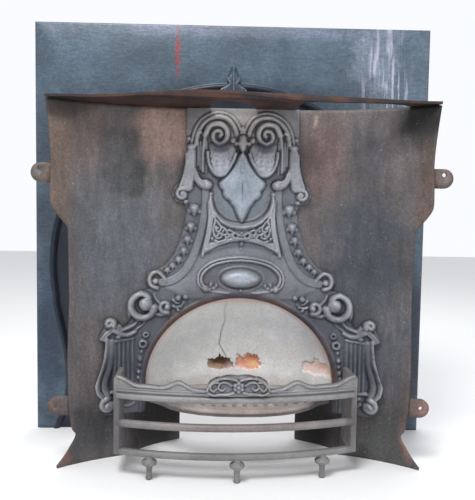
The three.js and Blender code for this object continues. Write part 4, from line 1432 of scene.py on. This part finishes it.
# %% The medallion on the rail
MEDALLION_FOOT = 176
CURLS = [
    [(14, 200), (24, 206), (35, 205), (40, 196), (33, 190), (26, 195)],
    [(40, 206), (50, 205), (56, 196), (50, 188), (43, 193)],
    [(10, 186), (22, 182), (36, 182), (48, 180), (60, 184)],
    [(4, 210), (14, 213), (26, 214), (38, 212), (50, 207), (58, 199), (62, 188)],
]
carve(rail, [(line, 2.6, 6, (1, 0.7)) for line in CURLS], steps=5, base=3 * MM)
medallion_edge = [(x, z) for x, z in rail_edge / MM if abs(x) < MEDALLION_HALF and z > MEDALLION_FOOT]
medallion_edge += [(-MEDALLION_HALF, MEDALLION_FOOT), (MEDALLION_HALF, MEDALLION_FOOT)]
grow(rail, medallion_edge, 3, 4, both=False)
PETALS = [(x, z, 5, 5, 8) for x, z in oval(0, 197, 7.5, 7.5, 6, first=30)]
carve(rail, [], PETALS + [(0, 197, 4.5, 4.5, 11)], base=2 * MM, both=False)
print("the medallion is drawn")


# %% The bars, posts and finials
def add_bar(bm, outline, height, setback):
    """Sweeps a closed outline of (out, up) places, in millimetres, along the bow."""
    rings = []
    for x in np.linspace(-POST_X, POST_X, 60):
        y = front_line + float(bow_y(x * MM)) + setback * MM
        rings.append([(x * MM + axis_x, y + out * MM, (height + up) * MM) for out, up in outline])
    ring_wall(bm, rings)


def add_box(bm, low, high, width):
    corners = [Vector(low), Vector(high)]
    middle, size = (corners[0] + corners[1]) / 2, corners[1] - corners[0]
    place = Matrix.Translation(middle) @ Matrix.Diagonal((*size, 1))
    cube = bmesh.ops.create_cube(bm, size=1.0, matrix=place)
    bevel_edges(bm, list({e for v in cube["verts"] for e in v.link_edges}), width)


def add_turning(bm, profile, centre, count=28):
    places = [Vector(centre) + Vector((radius * MM, 0, height * MM)) for radius, height in profile]
    verts = [bm.verts.new(place) for place in places]
    edges = [bm.edges.new(pair) for pair in zip(verts, verts[1:])]
    bmesh.ops.spin(
        bm, geom=verts + edges, cent=centre, axis=(0, 0, 1), angle=math.tau, steps=count, use_merge=True
    )


# %% Put the front grate together
RAIL_THICK = 9 * MM
ROUND_BAR = oval(0, 0, 8, 8, 18)
FLAT_BAR = [(0, -5), (0, 3), (2, 5), (12, 5), (14, 3), (14, -5), (12, -7), (2, -7)]
POST_THICK = 12
POST_LOW, POST_HIGH = 46, 204
FINIAL_X = 176
FINIAL = [
    (0, 0), (5.5, 0), (7, 1), (7.2, 3.5), (6.2, 6), (5.6, 12), (5.8, 20), (7, 26), (10, 28.5),
    (14, 31), (15.6, 34), (15.4, 37), (12.5, 40), (8.5, 41.5), (7.6, 44), (8.5, 48), (0, 48),
]
GRATE_TURN = math.radians(2.2)
GRATE_SHIFT = (-8 * MM, 0, 0)
bm = cast_sheet(rail, rail_edge, -RAIL_THICK, bend=bow_y)
add_bar(bm, ROUND_BAR, 111, 6)
add_bar(bm, FLAT_BAR, 53, 0)
post_back = front_line + float(cove_y(POST_X * MM)) - 18 * MM
for side in (-1, 1):
    post_x = side * POST_X * MM + axis_x
    low = (post_x - POST_THICK / 2 * MM, front_line + POST_FRONT * MM, POST_LOW * MM)
    add_box(bm, low, (post_x + POST_THICK / 2 * MM, post_back, POST_HIGH * MM), 2.5 * MM)
for x in (-FINIAL_X, 0, FINIAL_X):
    y = front_line + float(bow_y(x * MM)) + 7 * MM
    add_turning(bm, FINIAL, (x * MM + axis_x, y, 0))
bmesh.ops.remove_doubles(bm, verts=bm.verts, dist=0.01 * MM)
bmesh.ops.recalc_face_normals(bm, faces=bm.faces)
middle = Vector((axis_x, front_line, 0))
bmesh.ops.rotate(bm, cent=middle, matrix=Matrix.Rotation(GRATE_TURN, 3, "Z"), verts=bm.verts)
bmesh.ops.translate(bm, vec=GRATE_SHIFT, verts=bm.verts)
place_piece("bowed_grate", bm, ["front_grate"], bare_iron)

# %% [markdown]
# The flat front plate stands behind. It could be cut from a slab, but its moulding follows the horseshoe,
# so it is drawn as a ribbon: rows of places follow the opening, and each row runs across the sunk band,
# over the ring moulding and out to the plate's edge. The leaf at its top is a small cast sheet of its own.

# %% The plate's sizes and lines
SHOE_SIDE = [(432, 0), (412, 50), (405, 82), (401, 115), (402, 150), (409, 200), (421, 255), (433, 310)]
SHOE_RADIUS = 440
SHOE_CENTRE = 405
SIDE_TOP = 310
ARC_FOOT = 330
HALF_PLATE = 471
PLATE_TALL = 980
plate_front = 259 * MM
BAND = [(95, 12), (95, 6), (94, 5), (78, 5), (60, 5), (42, 5), (26, 5), (19, 5), (16.5, 4)]
BEAD = [polar(8, 2, 8, -angle) for angle in range(20, 161, 14)]
PROFILE = BAND + BEAD + [(-0.5, 0.2), (-2, 0)]
BORDER = [(5, 0), (2.5, 0.6), (0.5, 2), (0, 4), (0, PLATE_THICK)]
BANDED = len(PROFILE) - 4


def on_shoe(angle, inset):
    radius = SHOE_RADIUS - inset
    return radius * math.cos(angle), SHOE_CENTRE + radius * math.sin(angle)


def to_border(angle, inset):
    across, up = math.cos(angle), math.sin(angle)
    beside = (HALF_PLATE - inset) / max(across, 1e-6)
    reach = min(beside, (PLATE_TALL - inset - SHOE_CENTRE) / max(up, 1e-6))
    return reach * across, SHOE_CENTRE + reach * up


def plate_row(near_line, far_line):
    """One row of places, across and up and back, from the sunk band over the bead and face to the edge."""
    row = [(*near_line(inset), depth) for inset, depth in PROFILE]
    (near_x, near_z), (far_x, far_z) = near_line(PROFILE[-1][0]), far_line(BORDER[0][0])
    for share in (0.3, 0.6):
        row.append((near_x * (1 - share) + far_x * share, near_z * (1 - share) + far_z * share, 0))
    return row + [(*far_line(inset), depth) for inset, depth in BORDER]


print("a row of the plate has", len(PROFILE) + 2 + len(BORDER), "places")

# %% The plate's ribbon
first_angle = math.asin((ARC_FOOT - SHOE_CENTRE) / SHOE_RADIUS)
corner_angle = math.atan2(PLATE_TALL - SHOE_CENTRE, HALF_PLATE)
angles = np.sort(np.append(np.linspace(first_angle, math.pi / 2, 90), corner_angle))
side_z = np.linspace(0, SIDE_TOP, 34)
side_x = np.interp(side_z, [z for _, z in SHOE_SIDE], [x for x, _ in SHOE_SIDE])
half_rows = []
for x, z in zip(side_x, side_z):
    half_rows.append(plate_row(lambda inset: (x - inset, z), lambda inset: (HALF_PLATE - inset, z)))
for angle in angles:
    half_rows.append(plate_row(lambda inset: on_shoe(angle, inset), lambda inset: to_border(angle, inset)))
all_rows = half_rows + [[(-x, z, depth) for x, z, depth in row] for row in half_rows[-2::-1]]
bm = bmesh.new()
bm.verts.layers.float.new("cavity")
rim = bm.verts.layers.float.new("rim")
face_y = front_line + plate_front
made = ring_wall(bm, [[(x * MM, face_y + depth * MM, z * MM) for x, z, depth in row] for row in all_rows])
for row in made:
    for k, vert in enumerate(row):
        vert[rim] = 1.0 if k < BANDED else 0.0
measure_cavity(bm)
print("the ribbon has", len(all_rows), "rows")

# %% The leaf over the horseshoe
leaf = Relief(-44 * MM, 44 * MM, 800 * MM, 892 * MM, 1.6 * MM)
SMALL_LEAF = [(0, 885), (7, 880), (9, 870), (16, 858), (14, 846), (24, 838), (34, 822), (30, 812), (0, 816)]
LEAF_TONE = 0.5
leaf_outline = SMALL_LEAF + [(-x, z) for x, z in SMALL_LEAF[-2:0:-1]]
grow(leaf, leaf_outline, 13, 9, both=False)
carve(leaf, [
    ([(0, 884), (0, 850), (0, 818)], 3, 16),
    ([(14, 856), (10, 846), (4, 838)], 2.4, 14),
    ([(33, 822), (22, 832), (12, 830), (6, 822)], 3, 13),
])
leaf_mesh = cast_sheet(
    leaf, np.array(leaf_outline) * MM, -3 * MM, bend=lambda x: plate_front + 0 * x, centre_x=0.0,
    rim_field=np.full(leaf.x.shape, LEAF_TONE),
)
leaf_copy = bpy.data.meshes.new("leaf")
leaf_mesh.to_mesh(leaf_copy)
leaf_mesh.free()
bm.from_mesh(leaf_copy)
bpy.data.meshes.remove(leaf_copy)
bmesh.ops.recalc_face_normals(bm, faces=bm.faces)
place_piece("plate", bm, ["front_plate"], slate_blue_iron)

# %% [markdown]
# The set is a plain pale floor under soft studio light, seen from where the photograph was taken.

# %% The floor and the sky
FLOOR_HALF = 6.0
floor_mesh = bpy.data.meshes.new("floor")
floor_bm = bmesh.new()
bmesh.ops.create_grid(floor_bm, x_segments=1, y_segments=1, size=FLOOR_HALF)
floor_bm.to_mesh(floor_mesh)
floor_bm.free()
floor = bpy.data.objects.new("floor", floor_mesh)
bpy.context.scene.collection.objects.link(floor)
floor_material, tree, _ = start_material("pale floor")
shader = tree.nodes.new("ShaderNodeBsdfPrincipled")
shader.inputs["Base Color"].default_value = (0.93, 0.93, 0.93, 1)
shader.inputs["Roughness"].default_value = 0.9
result = tree.nodes.new("ShaderNodeOutputMaterial")
feed(result.inputs["Surface"], shader.outputs[0])
floor_mesh.materials.append(floor_material)

world = bpy.data.worlds.new("studio")
world.use_nodes = True
tree = world.node_tree
sky = tree.nodes["Background"]
sky.inputs["Color"].default_value = (0.96, 0.97, 1.0, 1)
toward = tree.nodes.new("ShaderNodeSeparateXYZ")
feed(toward.inputs[0], tree.nodes.new("ShaderNodeTexCoord").outputs["Generated"])
feed(sky.inputs["Strength"], fade(tree, toward.outputs["Y"], -0.35, 0.35, 0.4, 1.0))
bpy.context.scene.world = world
print("the floor is", 2 * FLOOR_HALF, "m wide")


# %% The lamps
def soft_light(name, place, aim, size, power, tone=(1, 1, 1)):
    lamp = bpy.data.lights.new(name, "AREA")
    lamp.shape = "RECTANGLE"
    lamp.size, lamp.size_y = size
    lamp.energy = power
    lamp.color = tone
    stand = bpy.data.objects.new(name, lamp)
    bpy.context.scene.collection.objects.link(stand)
    stand.location = place
    stand.rotation_euler = (Vector(aim) - Vector(place)).to_track_quat("-Z", "Y").to_euler()


soft_light("key", (-0.6, -1.5, 2.7), (0, 0, 0.45), (1.0, 1.0), 62)
soft_light("fill", (1.9, -2.3, 1.3), (0, 0, 0.4), (1.6, 1.6), 20, (0.93, 0.96, 1))
soft_light("back", (0.5, 1.8, 2.4), (0, 0, 0.5), (2.0, 1.5), 14)
print("three lamps are lit")

# %% The camera
eye = Vector((-0.023, -1.3697, 0.550))
turn, pitch, roll = math.radians(1.45), math.radians(3.91), math.radians(0.9)
look = Vector((math.sin(turn) * math.cos(pitch), math.cos(turn) * math.cos(pitch), -math.sin(pitch)))
lens = bpy.data.cameras.new("camera")
lens.lens = 45.29
lens.sensor_width = 36
lens.sensor_fit = "AUTO"
camera = bpy.data.objects.new("camera", lens)
bpy.context.scene.collection.objects.link(camera)
aimed = look.to_track_quat("-Z", "Y").to_matrix().to_4x4()
camera.matrix_world = Matrix.Translation(eye) @ aimed @ Matrix.Rotation(roll, 4, "Z")
bpy.context.scene.camera = camera
bpy.context.scene.view_settings.view_transform = "Standard"
print("the camera stands", round(-eye.y, 2), "m in front")
